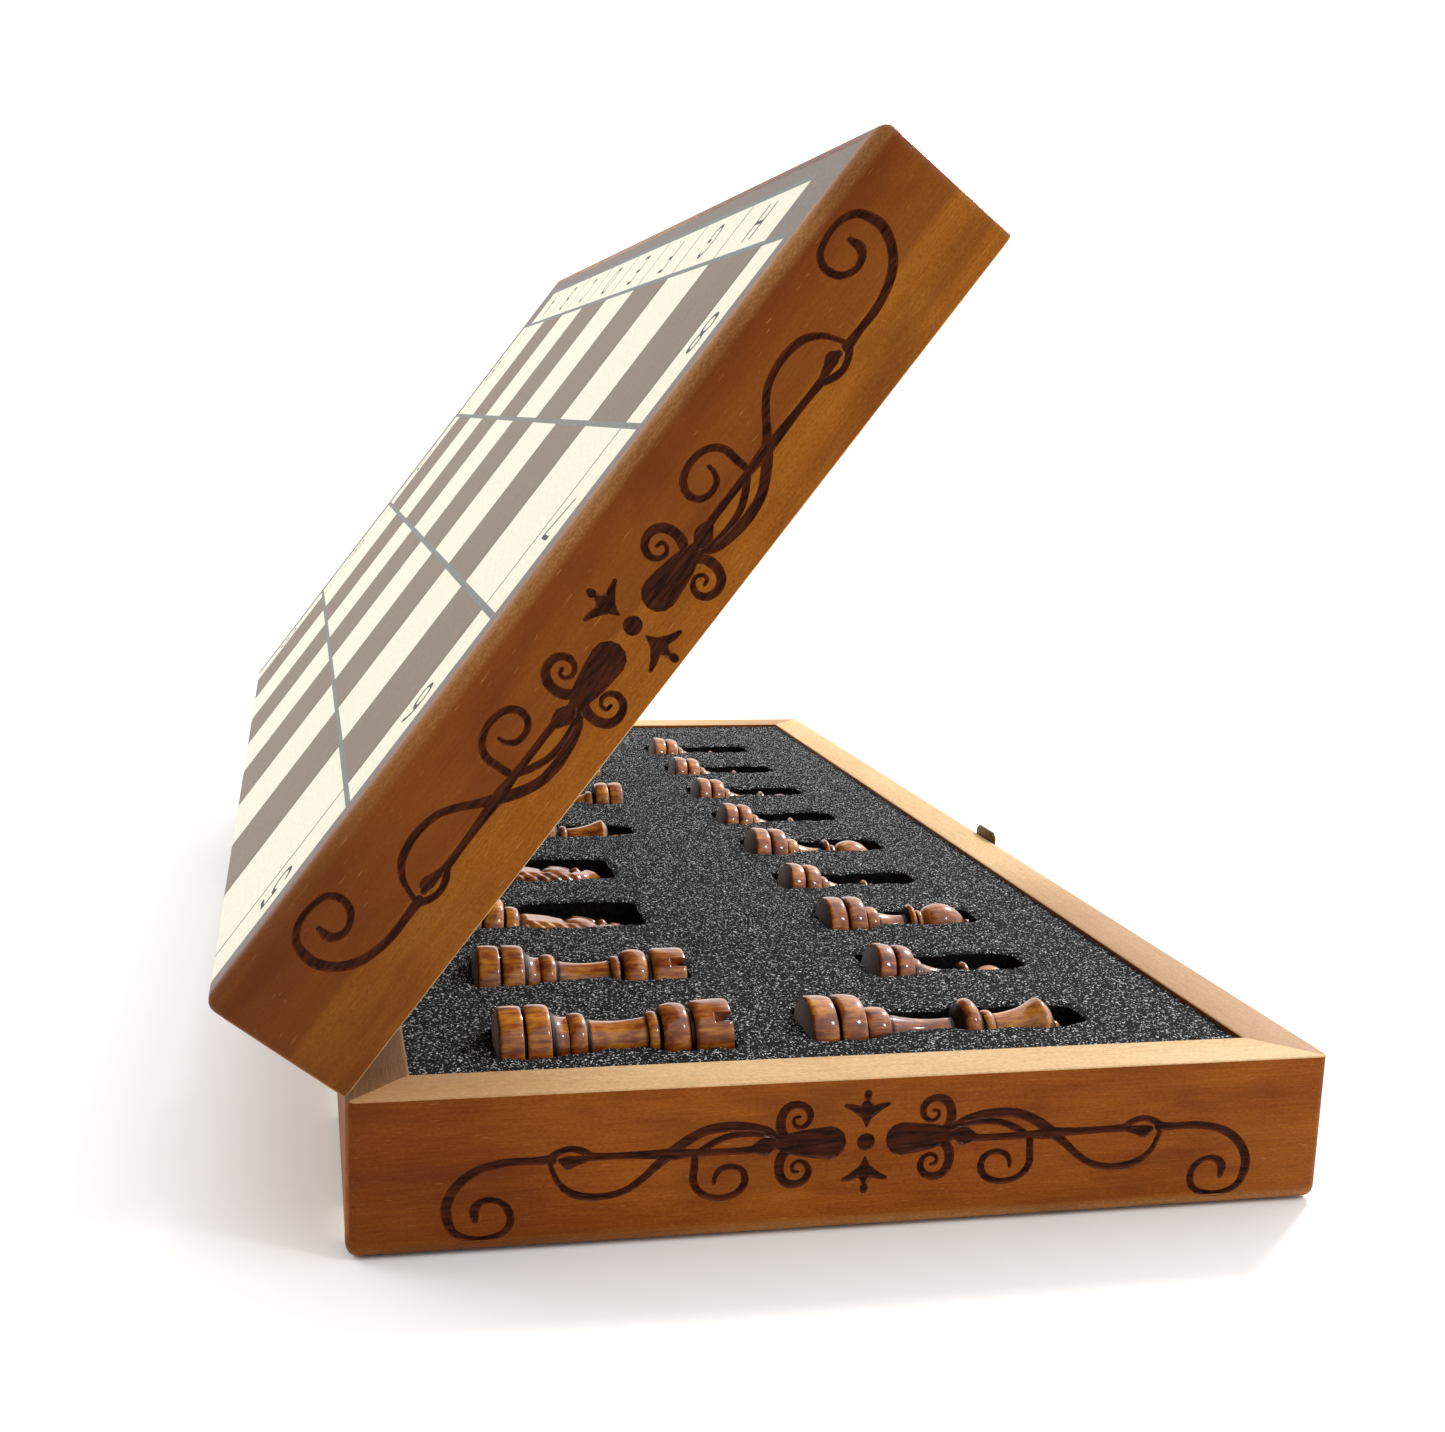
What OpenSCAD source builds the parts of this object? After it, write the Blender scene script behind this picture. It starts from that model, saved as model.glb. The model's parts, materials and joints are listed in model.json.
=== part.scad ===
// Folding chess box: two mitred trays hinged along one long side. The playing
// board is on the outer faces, and each tray holds one army in die-cut foam.
// Origin: centre of the face the box rests on. X runs from hinge to clasp,
// Y along the hinge, Z up.

/* [Box] */
// Width of one tray, from the hinge wall to the clasp wall
box_w = 190; // [184:1:200]
// Length of the box along the hinge
box_l = 380; // [376:1:400]
// Thickness of one closed tray
half_h = 30; // [29:0.5:34]
// Thickness of the frame rails
rail_t = 12; // [11:0.5:14]
// Thickness of the playing panel that closes each tray
panel_t = 4.5; // [4:0.5:5]
// Width of the frame's lip beside the panel
lip_w = 4; // [3.5:0.5:6]
// Rounding of the outer edges of the playing side
edge_round = 2.5; // [1.5:0.5:3]
// Angle between the lid and the base
open_angle = 53; // [40:1:120]
// Gap between the two rims when shut
rim_gap = 0.3; // [0.2:0.1:0.6]

/* [Foam] */
// Depth of the base foam below the rim
base_foam_drop = 1; // [0.5:0.5:2]
// Depth of the lid foam below the rim, so that the lid shuts over the pieces
lid_foam_drop = 11.5; // [11:0.5:12]
// Room between a piece and the wall of its pocket
pocket_gap = 0.8; // [0.5:0.1:1.2]
// Height of the light pieces above the lid foam
light_stand = 4.5; // [3.5:0.5:5]

/* [Chess pieces] */
// Radius of the king's and queen's foot
royal_r = 8.5; // [8:0.1:8.8]
// Radius of the foot of a rook, knight or bishop
officer_r = 8.2; // [7.6:0.1:8.6]
// Radius of a pawn's foot
pawn_r = 7.2; // [6.6:0.1:7.6]

/* [Hinges] */
// Distance of each hinge from the middle of the box
hinge_y = 110; // [80:5:130]
// Length of a hinge leaf
leaf_l = 45; // [40:1:50]
// Depth of a hinge leaf across the rim
leaf_w = 9; // [8:0.5:9.5]
// Thickness of a hinge leaf
leaf_t = 1.2; // [1:0.1:1.4]
// Radius of a hinge knuckle
knuckle_r = 2.4; // [2.2:0.1:2.6]
// Radius of a hinge pin
pin_r = 0.95; // [0.8:0.05:1.1]

/* [Clasp] */
// Distance of the clasp from the middle of the box, towards the far end
clasp_y = -11; // [-14:1:0]
// Distance from the hook's rivet to the catch's peg
hook_reach = 14; // [13:0.5:16]
// Radius of the peg and of the rivet
peg_r = 1.3; // [1.2:0.1:1.5]
// Thickness of the clasp's plates
plate_t = 1; // [0.8:0.1:1]

/* [Hidden] */
$fn = 48;
eps = 0.01;

rim_z = half_h - rim_gap / 2;
hinge_x = -box_w / 2 - rim_gap / 2;
wall_x = box_w / 2;
tray_w = box_w - 2 * rail_t;
tray_l = box_l - 2 * rail_t;

// Hinge sizes that follow from the leaf and the pin
knuckles = 5;
knuckle_gap = 0.2;
bore_clear = 0.05;
relief_r = knuckle_r + 0.4;
pin_head_r = pin_r + 0.75;
pin_head_t = 0.8;
leaf_sink = 0.1;
leaf_z = rim_z - leaf_sink - leaf_t;
bed_clear = 0.1;
pin_end_room = 0.3;
screw_pitch = 15;
screw_head_r = 2;
screw_head_t = 0.9;
screw_r = 1.1;
screw_l = 8;
screw_inset = 6;
screw_x = -box_w / 2 + screw_inset;

// Clasp sizes, measured from the seam between the trays
catch_drop = 6;
catch_z = half_h - catch_drop;
rivet_z = catch_z + hook_reach;
hook_t = 1;
hook_gap = 0.35;
head_t = 0.7;
head_lip = 0.9;
eye_r = 3.2;
shank_w = 4;
mouth_clear = 0.45;
tip_r = 3.6;
thumb_r = 2.2;
thumb_x = 4.6;
nail_r = 0.7;
nail_l = 6;
nail_y = 5;
nail_tip_room = 0.5;
nail_head_r = 1.2;
nail_head_t = 0.25;
catch_plate = [13, 8];
lid_plate = [13, 10];
tongue_rise = 2.4;
tongue_gap = 0.3;
tongue_cut = 1.5;

// Height of the two rings of a piece's foot, at most
foot_run = 10;

// Where the pieces lie: each column is the distance of the feet from the hinge wall
left_x = 30;
mid_x = 93;
right_x = 119;
function left_row(i) = 30 + 43 * i;
function right_row(i) = 33 + 36.4 * i;

// name, kind, column, direction of the head, row, height above the base foam, tilt
SET = [
    ["rook_1", "rook", left_x, 1, left_row(0), 6.6, -1.2],
    ["rook_2", "rook", left_x, 1, left_row(1), 5.6, 1.2],
    ["knight_1", "knight", left_x, 1, left_row(2), 5, 6],
    ["knight_2", "knight", left_x, 1, left_row(3), 5, 3],
    ["king", "king", left_x - 1, 1, left_row(4), 5.2, 0],
    ["pawn_1", "pawn", mid_x, -1, left_row(5), 4.6, 0],
    ["pawn_2", "pawn", mid_x, -1, left_row(6), 4.6, 0],
    ["queen", "queen", mid_x, 1, right_row(0), 5.4, 0],
    ["pawn_3", "pawn", right_x, 1, right_row(1), 4.6, 7],
    ["bishop_1", "bishop", right_x, 1, right_row(2), 5.2, 0],
    ["pawn_4", "pawn", right_x, 1, right_row(3), 4.4, 7.5],
    ["bishop_2", "bishop", right_x, 1, right_row(4), 5.4, 4],
    ["pawn_5", "pawn", right_x, 1, right_row(5), 4.4, 7],
    ["pawn_6", "pawn", right_x, 1, right_row(6), 4.6, 6.5],
    ["pawn_7", "pawn", right_x, 1, right_row(7), 4.4, 7],
    ["pawn_8", "pawn", right_x, 1, right_row(8), 4.4, 7.5]
];
NAME = 0;
KIND = 1;
COLUMN = 2;
HEADING = 3;
ROW = 4;
STAND = 5;
TILT = 6;

RAILS = ["near", "far", "hinge", "clasp"];
HINGES = [["near", -hinge_y], ["far", hinge_y]];

stain = "#8f5122";
board_print = "#cdbfa4";
charcoal = "#303236";
bronze = "#5b4630";
steel = "#b9b4a6";
dark_wood = "#7a2f12";
light_wood = "#dcb27a";

// ---------- placing ----------

// Puts a tray's part, drawn as if in the base, into the lid at its opened angle.
module in_lid() {
    translate([hinge_x, 0, half_h])
        rotate([0, -open_angle, 0])
            translate([-hinge_x, 0, half_h])
                mirror([0, 0, 1])
                    children();
}

// Same turn for a part that is drawn where it stands in the shut lid.
module with_lid() {
    translate([hinge_x, 0, half_h])
        rotate([0, -open_angle, 0])
            translate([-hinge_x, 0, -half_h])
                children();
}

function foam_z(drop) = rim_z - drop;
function foot_r(kind) =
    kind == "pawn" ? pawn_r :
    kind == "king" || kind == "queen" ? royal_r :
    officer_r;
function axis_z(p, drop, stand) = foam_z(drop) + stand - foot_r(p[KIND]);

// Lays a piece on its side: its own +Z (foot to head) points along +X or -X.
module lay(p, drop, stand, tilt) {
    translate([p[COLUMN] - box_w / 2, p[ROW] - box_l / 2, axis_z(p, drop, stand)])
        rotate([0, p[HEADING] > 0 ? 0 : 180, 0])
            rotate([0, 90 + p[HEADING] * tilt, 0])
                children();
}

// ---------- wooden trays ----------

// Plan of a rail along X: its outer face on y = 0 and its ends mitred.
module mitre(length, width) {
    polygon([
        [-length / 2, 0],
        [length / 2, 0],
        [length / 2 - width, width],
        [-length / 2 + width, width]
    ]);
}

// The part of a rail that stands on the panel.
module upper_rail(length) {
    translate([0, 0, panel_t])
        linear_extrude(rim_z - panel_t)
            mitre(length, rail_t);
}

// Cutter that rounds a lower edge lying along Y at x = 0, z = 0.
module edge_cutter(length) {
    rotate([90, 0, 0])
        linear_extrude(length, center = true)
            difference() {
                translate([-1, -1])
                    square(edge_round + 1);
                translate([edge_round, edge_round])
                    circle(edge_round);
            }
}

// Near or far rail. Its lip runs straight out to the hinge wall, where the panel has none.
module end_rail(end) {
    mirror([0, end > 0 ? 1 : 0, 0])
        translate([0, -box_l / 2, 0])
            difference() {
                union() {
                    upper_rail(box_w);
                    linear_extrude(panel_t) {
                        mitre(box_w, lip_w);
                        translate([-box_w / 2, 0])
                            square([2 * lip_w, lip_w]);
                    }
                }
                rotate([0, 0, 90])
                    edge_cutter(box_w + 2);
                translate([-box_w / 2, 0, 0])
                    edge_cutter(3 * lip_w);
            }
}

// Recess for one hinge: the leaf's bed, the knuckle's relief and the screws' pilot holes.
module hinge_recess() {
    translate([-box_w / 2 - 1, -leaf_l / 2 - bed_clear, leaf_z])
        cube([leaf_w + 1 + bed_clear, leaf_l + 2 * bed_clear, leaf_t + 1]);
    translate([hinge_x, 0, half_h])
        rotate([90, 0, 0])
            cylinder(r = relief_r, h = leaf_l + 2 * (pin_head_t + pin_end_room), center = true);
    for (i = [-1:1])
        translate([screw_x, i * screw_pitch, leaf_z - screw_l])
            cylinder(r = screw_r + bore_clear, h = screw_l + eps);
}

module hinge_rail() {
    difference() {
        rotate([0, 0, -90])
            translate([0, -box_w / 2, 0])
                upper_rail(box_l);
        for (h = HINGES)
            translate([0, h[1], 0])
                hinge_recess();
    }
}

// The clasp rail is drilled for the two nails of its plate.
module clasp_rail(z) {
    difference() {
        rotate([0, 0, 90])
            translate([0, -box_w / 2, 0]) {
                upper_rail(box_l);
                linear_extrude(panel_t)
                    mitre(box_l, lip_w);
            }
        rotate([0, 0, 180])
            translate([-box_w / 2, 0, 0])
                edge_cutter(box_l + 2);
        for (s = [-1, 1])
            translate([wall_x - nail_l, clasp_y + s * nail_y, z])
                rotate([0, 90, 0])
                    cylinder(r = nail_r + bore_clear, h = nail_l + 1);
    }
}

// The panel lies inside the lips and runs out to the hinge wall, so that two halves make one board.
module panel() {
    difference() {
        translate([-box_w / 2, -box_l / 2 + lip_w, 0])
            cube([box_w - lip_w, box_l - 2 * lip_w, panel_t]);
        translate([-box_w / 2, 0, 0])
            edge_cutter(box_l);
    }
}

// ---------- foam ----------

// Half widths of a piece's pocket, as [distance from the foot, half width].
function pocket_half(kind) =
    kind == "rook" ? [[0, 8.2], [10.5, 8.2], [16, 6.4], [22, 4.8], [29, 4.8], [33, 7.3], [46, 7.3]] :
    kind == "knight" ? [[0, 8.2], [10.5, 8.2], [14, 6.5], [17, 9.5], [30, 10.5], [44, 8.5]] :
    kind == "bishop" ? [[0, 8.2], [9, 8.2], [13, 5], [20, 4], [23, 5.8], [34, 6], [38, 3.5]] :
    kind == "pawn" ? [[0, 7.2], [8.5, 7.2], [12, 4.6], [18, 3.6], [21, 5], [32, 5], [35, 3]] :
    [[0, 8.5], [11, 8.5], [17, 5.2], [30, 4], [34, 6.6], [41, 5.2], [52, 6.4], [59, 3.5]];

// A sunken head tips the foot back and its upper ring down, so the floor and the
// pocket's end move away with the tilt.
module pocket(p, drop, stand, tilt) {
    half = pocket_half(p[KIND]);
    last = len(half) - 1;
    upper = [
        for (i = [0:last])
            [half[i][0] + (i == last ? pocket_gap : 0), half[i][1] + pocket_gap]
    ];
    lower = [for (i = [last:-1:0]) [upper[i][0], -upper[i][1]]];
    back = -pocket_gap - foot_r(p[KIND]) * sin(abs(tilt));
    outline = concat([[back, upper[0][1]]], upper, lower, [[back, -upper[0][1]]]);
    floor_z = axis_z(p, drop, stand) - foot_r(p[KIND]) - rim_gap - foot_run * sin(max(tilt, 0));
    translate([p[COLUMN] - box_w / 2, p[ROW] - box_l / 2, floor_z])
        mirror([p[HEADING] > 0 ? 0 : 1, 0, 0])
            linear_extrude(half_h)
                polygon(outline);
}

module foam_block(drop) {
    translate([-tray_w / 2, -tray_l / 2, panel_t])
        cube([tray_w, tray_l, foam_z(drop) - panel_t]);
}

module base_foam() {
    color(charcoal)
        difference() {
            foam_block(base_foam_drop);
            for (p = SET)
                pocket(p, base_foam_drop, p[STAND], p[TILT]);
        }
}

module lid_foam() {
    color(charcoal)
        in_lid()
            difference() {
                foam_block(lid_foam_drop);
                for (p = SET)
                    pocket(p, lid_foam_drop, light_stand, 0);
            }
}

// ---------- hinges ----------

// Knuckles of one leaf: every second one, starting with first.
module knuckle_row(first) {
    pitch = leaf_l / knuckles;
    for (i = [first:2:knuckles - 1])
        translate([0, -leaf_l / 2 + (i + 0.5) * pitch, 0]) {
            rotate([90, 0, 0])
                cylinder(r = knuckle_r, h = pitch - knuckle_gap, center = true);
            translate([0, -(pitch - knuckle_gap) / 2, leaf_z - half_h])
                cube([relief_r + eps, pitch - knuckle_gap, leaf_t]);
        }
}

// One leaf as it lies in the base; first = 0 has the outer knuckles.
module leaf(first) {
    difference() {
        union() {
            translate([hinge_x, 0, half_h])
                knuckle_row(first);
            translate([hinge_x + relief_r, -leaf_l / 2, leaf_z])
                cube([leaf_w - relief_r, leaf_l, leaf_t]);
        }
        translate([hinge_x, 0, half_h])
            rotate([90, 0, 0])
                cylinder(r = pin_r + bore_clear, h = leaf_l + 2, center = true);
        for (i = [-1:1])
            translate([screw_x, i * screw_pitch, rim_z - leaf_sink])
                hinge_screw(bore_clear);
    }
}

module base_leaf(y) {
    color(steel)
        translate([0, y, 0])
            leaf(0);
}

module lid_leaf(y) {
    color(steel)
        in_lid()
            translate([0, y, 0])
                leaf(1);
}

// Countersunk screw hanging down from its head's flat at z = 0.
module hinge_screw(grow) {
    rotate_extrude()
        polygon([
            [0, 0],
            [screw_head_r, 0],
            [screw_r + grow, -screw_head_t],
            [screw_r + grow, -screw_l],
            [0, -screw_l - screw_r]
        ]);
}

module hinge_screws() {
    for (h = HINGES)
        for (i = [-1:1])
            translate([screw_x, h[1] + i * screw_pitch, rim_z - leaf_sink])
                hinge_screw(0);
}

module hinge_pin(y) {
    color(steel)
        translate([hinge_x, y, half_h])
            rotate([90, 0, 0]) {
                cylinder(r = pin_r, h = leaf_l, center = true);
                for (s = [0, 1])
                    mirror([0, 0, s])
                        translate([0, 0, (leaf_l - knuckle_gap) / 2])
                            cylinder(r = pin_head_r, h = pin_head_t);
            }
}

// ---------- clasp ----------

module wall_plate(size, z) {
    difference() {
        translate([wall_x, 0, z])
            rotate([0, 90, 0])
                linear_extrude(plate_t)
                    square([size[1], size[0]], center = true);
        for (s = [-1, 1])
            translate([wall_x - 1, s * nail_y, z])
                rotate([0, 90, 0])
                    cylinder(r = nail_r + bore_clear, h = plate_t + 2);
    }
}

// Peg with a broad head that stands out from a plate at height z.
module peg(z) {
    translate([wall_x + plate_t, 0, z])
        rotate([0, 90, 0]) {
            cylinder(r = peg_r, h = hook_t + 2 * hook_gap + head_t);
            translate([0, 0, hook_t + 2 * hook_gap])
                cylinder(r = peg_r + head_lip, h = head_t);
        }
}

module nails(z) {
    for (s = [-1, 1])
        translate([wall_x - nail_l + nail_tip_room, clasp_y + s * nail_y, z])
            rotate([0, 90, 0]) {
                cylinder(r = nail_r, h = nail_l - nail_tip_room + plate_t);
                translate([0, 0, nail_l - nail_tip_room + plate_t])
                    cylinder(r = nail_head_r, h = nail_head_t);
            }
}

// Top of the catch's plate. It rises past the seam, just clear of the lid's wall.
module catch_tongue() {
    half_w = catch_plate[0] / 2;
    foot_z = catch_z + catch_plate[1] / 2 - 1;
    rise = half_h + tongue_rise - foot_z;
    translate([wall_x + tongue_gap, 0, foot_z])
        rotate([90, 0, 90])
            linear_extrude(plate_t - tongue_gap)
                polygon([
                    [-half_w, 0],
                    [half_w, 0],
                    [half_w, rise - tongue_cut],
                    [half_w - tongue_cut, rise],
                    [-half_w + tongue_cut, rise],
                    [-half_w, rise - tongue_cut]
                ]);
}

module clasp_catch() {
    color(bronze)
        translate([0, clasp_y, 0]) {
            wall_plate(catch_plate, catch_z);
            catch_tongue();
            peg(catch_z);
        }
}

module clasp_plate() {
    color(bronze)
        with_lid()
            translate([0, clasp_y, 0])
                wall_plate(lid_plate, rivet_z);
}

module clasp_rivet() {
    color(bronze)
        with_lid()
            translate([0, clasp_y, 0])
                peg(rivet_z);
}

// The hook is parked along the wall, its open mouth on the side that meets the peg.
module clasp_hook() {
    mouth_r = peg_r + mouth_clear;
    color(bronze)
        with_lid()
            translate([wall_x + plate_t + hook_gap, clasp_y, rivet_z])
                rotate([90, 0, 90])
                    linear_extrude(hook_t)
                        difference() {
                            union() {
                                circle(eye_r);
                                translate([0, -shank_w / 2])
                                    square([hook_reach, shank_w]);
                                translate([hook_reach, 0])
                                    circle(tip_r);
                                translate([hook_reach + thumb_x, 1])
                                    circle(thumb_r);
                            }
                            circle(peg_r + bore_clear);
                            translate([hook_reach, 0])
                                circle(mouth_r);
                            translate([hook_reach - mouth_r, -2 * tip_r])
                                square([2 * mouth_r, 2 * tip_r]);
                        }
}

// ---------- chess pieces, standing on their feet ----------

// Points of a round bead between two heights, bulging from r_in to r_out.
function bead(z0, z1, r_in, r_out, steps = 6) = [
    for (i = [0:steps])
        let (a = 180 * i / steps)
            [r_in + (r_out - r_in) * sin(a), z0 + (z1 - z0) * (1 - cos(a)) / 2]
];

// Points of a waist that runs from r0 to r1 and dips by sag between them.
function waist(z0, z1, r0, r1, sag, steps = 5) = [
    for (i = [0:steps])
        let (t = i / steps)
            [r0 + (r1 - r0) * t - sag * sin(180 * t), z0 + (z1 - z0) * t]
];

// Two stacked rings of the foot, common to every piece.
function foot(r, h) = concat(
    [[0, 0], [r - 0.4, 0], [r, 0.5], [r, 0.36 * h], [r - 0.5, 0.44 * h]],
    [[r - 1.2, 0.46 * h], [r - 1.2, 0.52 * h], [r - 0.4, 0.54 * h], [r, 0.6 * h], [r, 0.78 * h]],
    [[r - 0.4, 0.92 * h], [r - 1.2, h]]
);

module turned(points) {
    rotate_extrude()
        polygon(points);
}

module rook() {
    difference() {
        turned(concat(
            foot(officer_r, 10),
            waist(10.4, 13.6, 6.6, 5.4, 0.3),
            bead(13.8, 17.2, 5.2, 6.1),
            waist(17.6, 29.4, 4.6, 4.5, 0.5),
            [[5.3, 29.6], [5.5, 31.4], [5, 31.8]],
            bead(32.2, 37.6, 5.8, 6.9),
            [[5.8, 37.8], [5.8, 38.4], [6.8, 38.6], [7.2, 39.6], [7.3, 45.6], [7, 46]],
            [[5, 46], [4.6, 44.8], [0, 44.8]]
        ));
        for (a = [0, 90])
            rotate([0, 0, a])
                translate([-10, -1.1, 42.8])
                    cube([20, 2.2, 4]);
    }
}

module bishop() {
    turned(concat(
        foot(officer_r - 0.2, 9.4),
        bead(9.8, 13.4, 4.4, 5.2),
        waist(13.8, 21, 3.9, 3, 0.3),
        bead(21.2, 23, 3.6, 5.6),
        bead(23.4, 25, 3.2, 4),
        [[3.8, 25.2], [4.9, 26.6], [5.6, 28.8], [5.5, 31], [4.7, 33.2], [3.2, 35.2]],
        [[1.2, 36.4], [1.5, 37.2], [0, 38]]
    ));
}

module queen() {
    turned(concat(
        foot(royal_r, 11.4),
        bead(12, 17.4, 4.6, 5.6),
        waist(17.8, 31.6, 3.9, 2.8, 0.5),
        [[4.2, 32], [6.2, 33.4], [6.6, 34.6], [6.2, 35.8], [4.4, 37.2]],
        bead(38, 40.2, 3.2, 4),
        waist(40.6, 49.4, 3.3, 6, 0.8),
        [for (i = [1:5]) [6 * cos(18 * i), 49.4 + 4.6 * sin(18 * i)]],
        [[0, 54]]
    ));
    translate([0, 0, 53.8])
        sphere(1.2);
}

module king() {
    turned(concat(
        foot(royal_r, 11.4),
        bead(12, 17.4, 4.6, 5.6),
        waist(17.8, 31.6, 3.9, 3, 0.5),
        [[4.2, 32], [6.2, 33.4], [6.6, 34.6], [6.2, 35.8], [4.4, 37.2]],
        bead(38, 40.2, 3.4, 4.2),
        waist(40.6, 50, 3.6, 5.8, 0.5),
        [[5.8, 50.6], [4.6, 52], [1.4, 52.8], [0, 52.8]]
    ));
    translate([-0.9, -0.9, 52.4])
        cube([1.8, 1.8, 5.6]);
    translate([-2.4, -0.9, 54.4])
        cube([4.8, 1.8, 1.8]);
}

module pawn() {
    turned(concat(
        foot(pawn_r, 8.6),
        bead(9, 11.4, 3.8, 4.4),
        waist(11.8, 20.4, 3.6, 2.6, 0.3),
        [[3, 20.6], [4.6, 21.6], [4.6, 22.2], [3, 23.4]],
        [for (i = [0:10]) let (a = -55 + 145 * i / 10) [4.5 * cos(a), 29 + 4.5 * sin(a)]]
    ));
}

// Outline of the carved horse's head in the plane of its face, foot end at y = 0.
HORSE = [
    [-5.6, 0], [5.2, 0], [6, 4], [5.4, 9], [3.2, 12.5], [5.4, 12.2], [8.4, 13.4], [9.6, 15.6],
    [8.8, 18.2], [5, 20.8], [3.6, 24.6], [2.4, 29], [0.4, 27], [-3.4, 25], [-6.8, 20],
    [-8, 13.5], [-7.4, 6]
];

module knight() {
    turned(concat(
        foot(officer_r, 10),
        bead(10.4, 14, 5.6, 6.2),
        [[0, 14]]
    ));
    translate([0, 4, 14 - eps])
        rotate([90, 0, 0])
            linear_extrude(8)
                polygon(HORSE);
}

module piece(kind) {
    if (kind == "rook") rook();
    if (kind == "knight") rotate([0, 0, 90]) knight();
    if (kind == "bishop") bishop();
    if (kind == "queen") queen();
    if (kind == "king") rotate([0, 0, 90]) king();
    if (kind == "pawn") pawn();
}

module dark_piece(p) {
    color(dark_wood)
        lay(p, base_foam_drop, p[STAND], p[TILT])
            piece(p[KIND]);
}

module light_piece(p) {
    color(light_wood)
        in_lid()
            lay(p, lid_foam_drop, light_stand, 0)
                piece(p[KIND]);
}

// ---------- the assembly ----------

color(stain) end_rail(-1);  // base_near_rail
color(stain) end_rail(1);  // base_far_rail
color(stain) hinge_rail();  // base_hinge_rail
color(stain) clasp_rail(catch_z);  // base_clasp_rail
color(board_print) panel();  // base_panel
base_foam();
color(stain) in_lid() end_rail(-1);  // lid_near_rail
color(stain) in_lid() end_rail(1);  // lid_far_rail
color(stain) in_lid() hinge_rail();  // lid_hinge_rail
color(stain) in_lid() clasp_rail(2 * half_h - rivet_z);  // lid_clasp_rail
color(board_print) in_lid() panel();  // lid_panel
lid_foam();
for (h = HINGES) {
    base_leaf(h[1]);
    lid_leaf(h[1]);
    hinge_pin(h[1]);
}
color(steel) hinge_screws();  // base_hinge_screws
color(steel) in_lid() hinge_screws();  // lid_hinge_screws
clasp_catch();
clasp_plate();
clasp_hook();
clasp_rivet();
color(bronze) nails(catch_z);  // base_clasp_nails
color(bronze) with_lid() nails(rivet_z);  // lid_clasp_nails
for (p = SET) {
    dark_piece(p);
    light_piece(p);
}
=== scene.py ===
"""Looks of the folding chess box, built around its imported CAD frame.

Shapes are drawn in millimetres in the frame of one tray: X runs from the hinge wall
towards the clasp, Y along the hinge, and Z away from the seam. Scene units are metres.
"""

import json
import math

import bmesh
import bpy
import numpy as np
from mathutils import Matrix, Vector
from mathutils.geometry import delaunay_2d_cdt


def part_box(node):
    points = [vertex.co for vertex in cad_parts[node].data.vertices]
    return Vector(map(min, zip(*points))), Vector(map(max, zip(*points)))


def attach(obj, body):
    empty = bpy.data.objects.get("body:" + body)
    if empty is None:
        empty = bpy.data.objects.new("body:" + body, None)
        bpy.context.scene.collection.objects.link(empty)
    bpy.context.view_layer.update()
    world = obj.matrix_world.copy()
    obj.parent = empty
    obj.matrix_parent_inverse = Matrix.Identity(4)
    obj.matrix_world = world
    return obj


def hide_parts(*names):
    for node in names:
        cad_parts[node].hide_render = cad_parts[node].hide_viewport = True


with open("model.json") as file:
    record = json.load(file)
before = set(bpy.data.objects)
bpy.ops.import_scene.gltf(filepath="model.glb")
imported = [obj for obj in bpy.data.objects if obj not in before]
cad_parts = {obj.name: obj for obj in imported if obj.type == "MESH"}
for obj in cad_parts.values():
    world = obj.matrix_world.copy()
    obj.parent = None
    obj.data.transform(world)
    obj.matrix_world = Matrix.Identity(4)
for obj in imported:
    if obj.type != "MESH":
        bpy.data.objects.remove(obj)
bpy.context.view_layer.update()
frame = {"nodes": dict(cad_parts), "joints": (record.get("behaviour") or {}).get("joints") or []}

MM = 0.001
TINY = 1e-6
CDT_NEAR = 1e-4

# ---------- sizes read from the frame ----------


def box_mm(node):
    low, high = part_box(node)
    return low / MM, high / MM


def joint(name):
    return next(j for j in frame["joints"] if j["name"] == name)


HINGE = Vector(joint("lid_hinge")["pos_m"])
OPEN = math.radians(-joint("lid_hinge")["range_deg"][0])
RAIL_LOW, RAIL_HIGH = box_mm("base_near_rail")
PANEL_LOW, PANEL_HIGH = box_mm("base_panel")
WIDTH = RAIL_HIGH.x - RAIL_LOW.x
LENGTH = box_mm("base_far_rail")[1].y - RAIL_LOW.y
RAIL_T = RAIL_HIGH.y - RAIL_LOW.y
HALF_H = HINGE.z / MM
RIM = HALF_H - RAIL_HIGH.z
PANEL_T = PANEL_HIGH.z
LIP = PANEL_LOW.y - RAIL_LOW.y
WALL = RAIL_LOW.x - HINGE.x / MM
SEAT = HALF_H - PANEL_T

# A tray's frame stands on the hinge axis; its depth runs along +Z in the lid and -Z in the base.
TRAY = {
    "base": Matrix.Translation(HINGE),
    "lid": Matrix.Translation(HINGE) @ Matrix.Rotation(-OPEN, 4, "Y"),
}
SIDE = {"base": -1, "lid": 1}

EDGE_R = 2.5
CORNER_R = 2.2
RIM_R = 0.5


# ---------- mesh helpers ----------


def place(piece, body, nodes, slot):
    """Hands a finished piece over to its body and hides its CAD nodes. The slot argument is not used."""
    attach(piece, body)
    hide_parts(*nodes)
    return piece


def add_object(name, data, matrix):
    made = bpy.data.objects.new(name, data)
    bpy.context.scene.collection.objects.link(made)
    made.matrix_world = matrix
    return made


def to_mesh(name, bm):
    """Mesh of a bmesh, with its faces turned outwards. Frees the bmesh."""
    bmesh.ops.recalc_face_normals(bm, faces=bm.faces)
    mesh = bpy.data.meshes.new(name)
    bm.to_mesh(mesh)
    bm.free()
    return mesh


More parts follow.
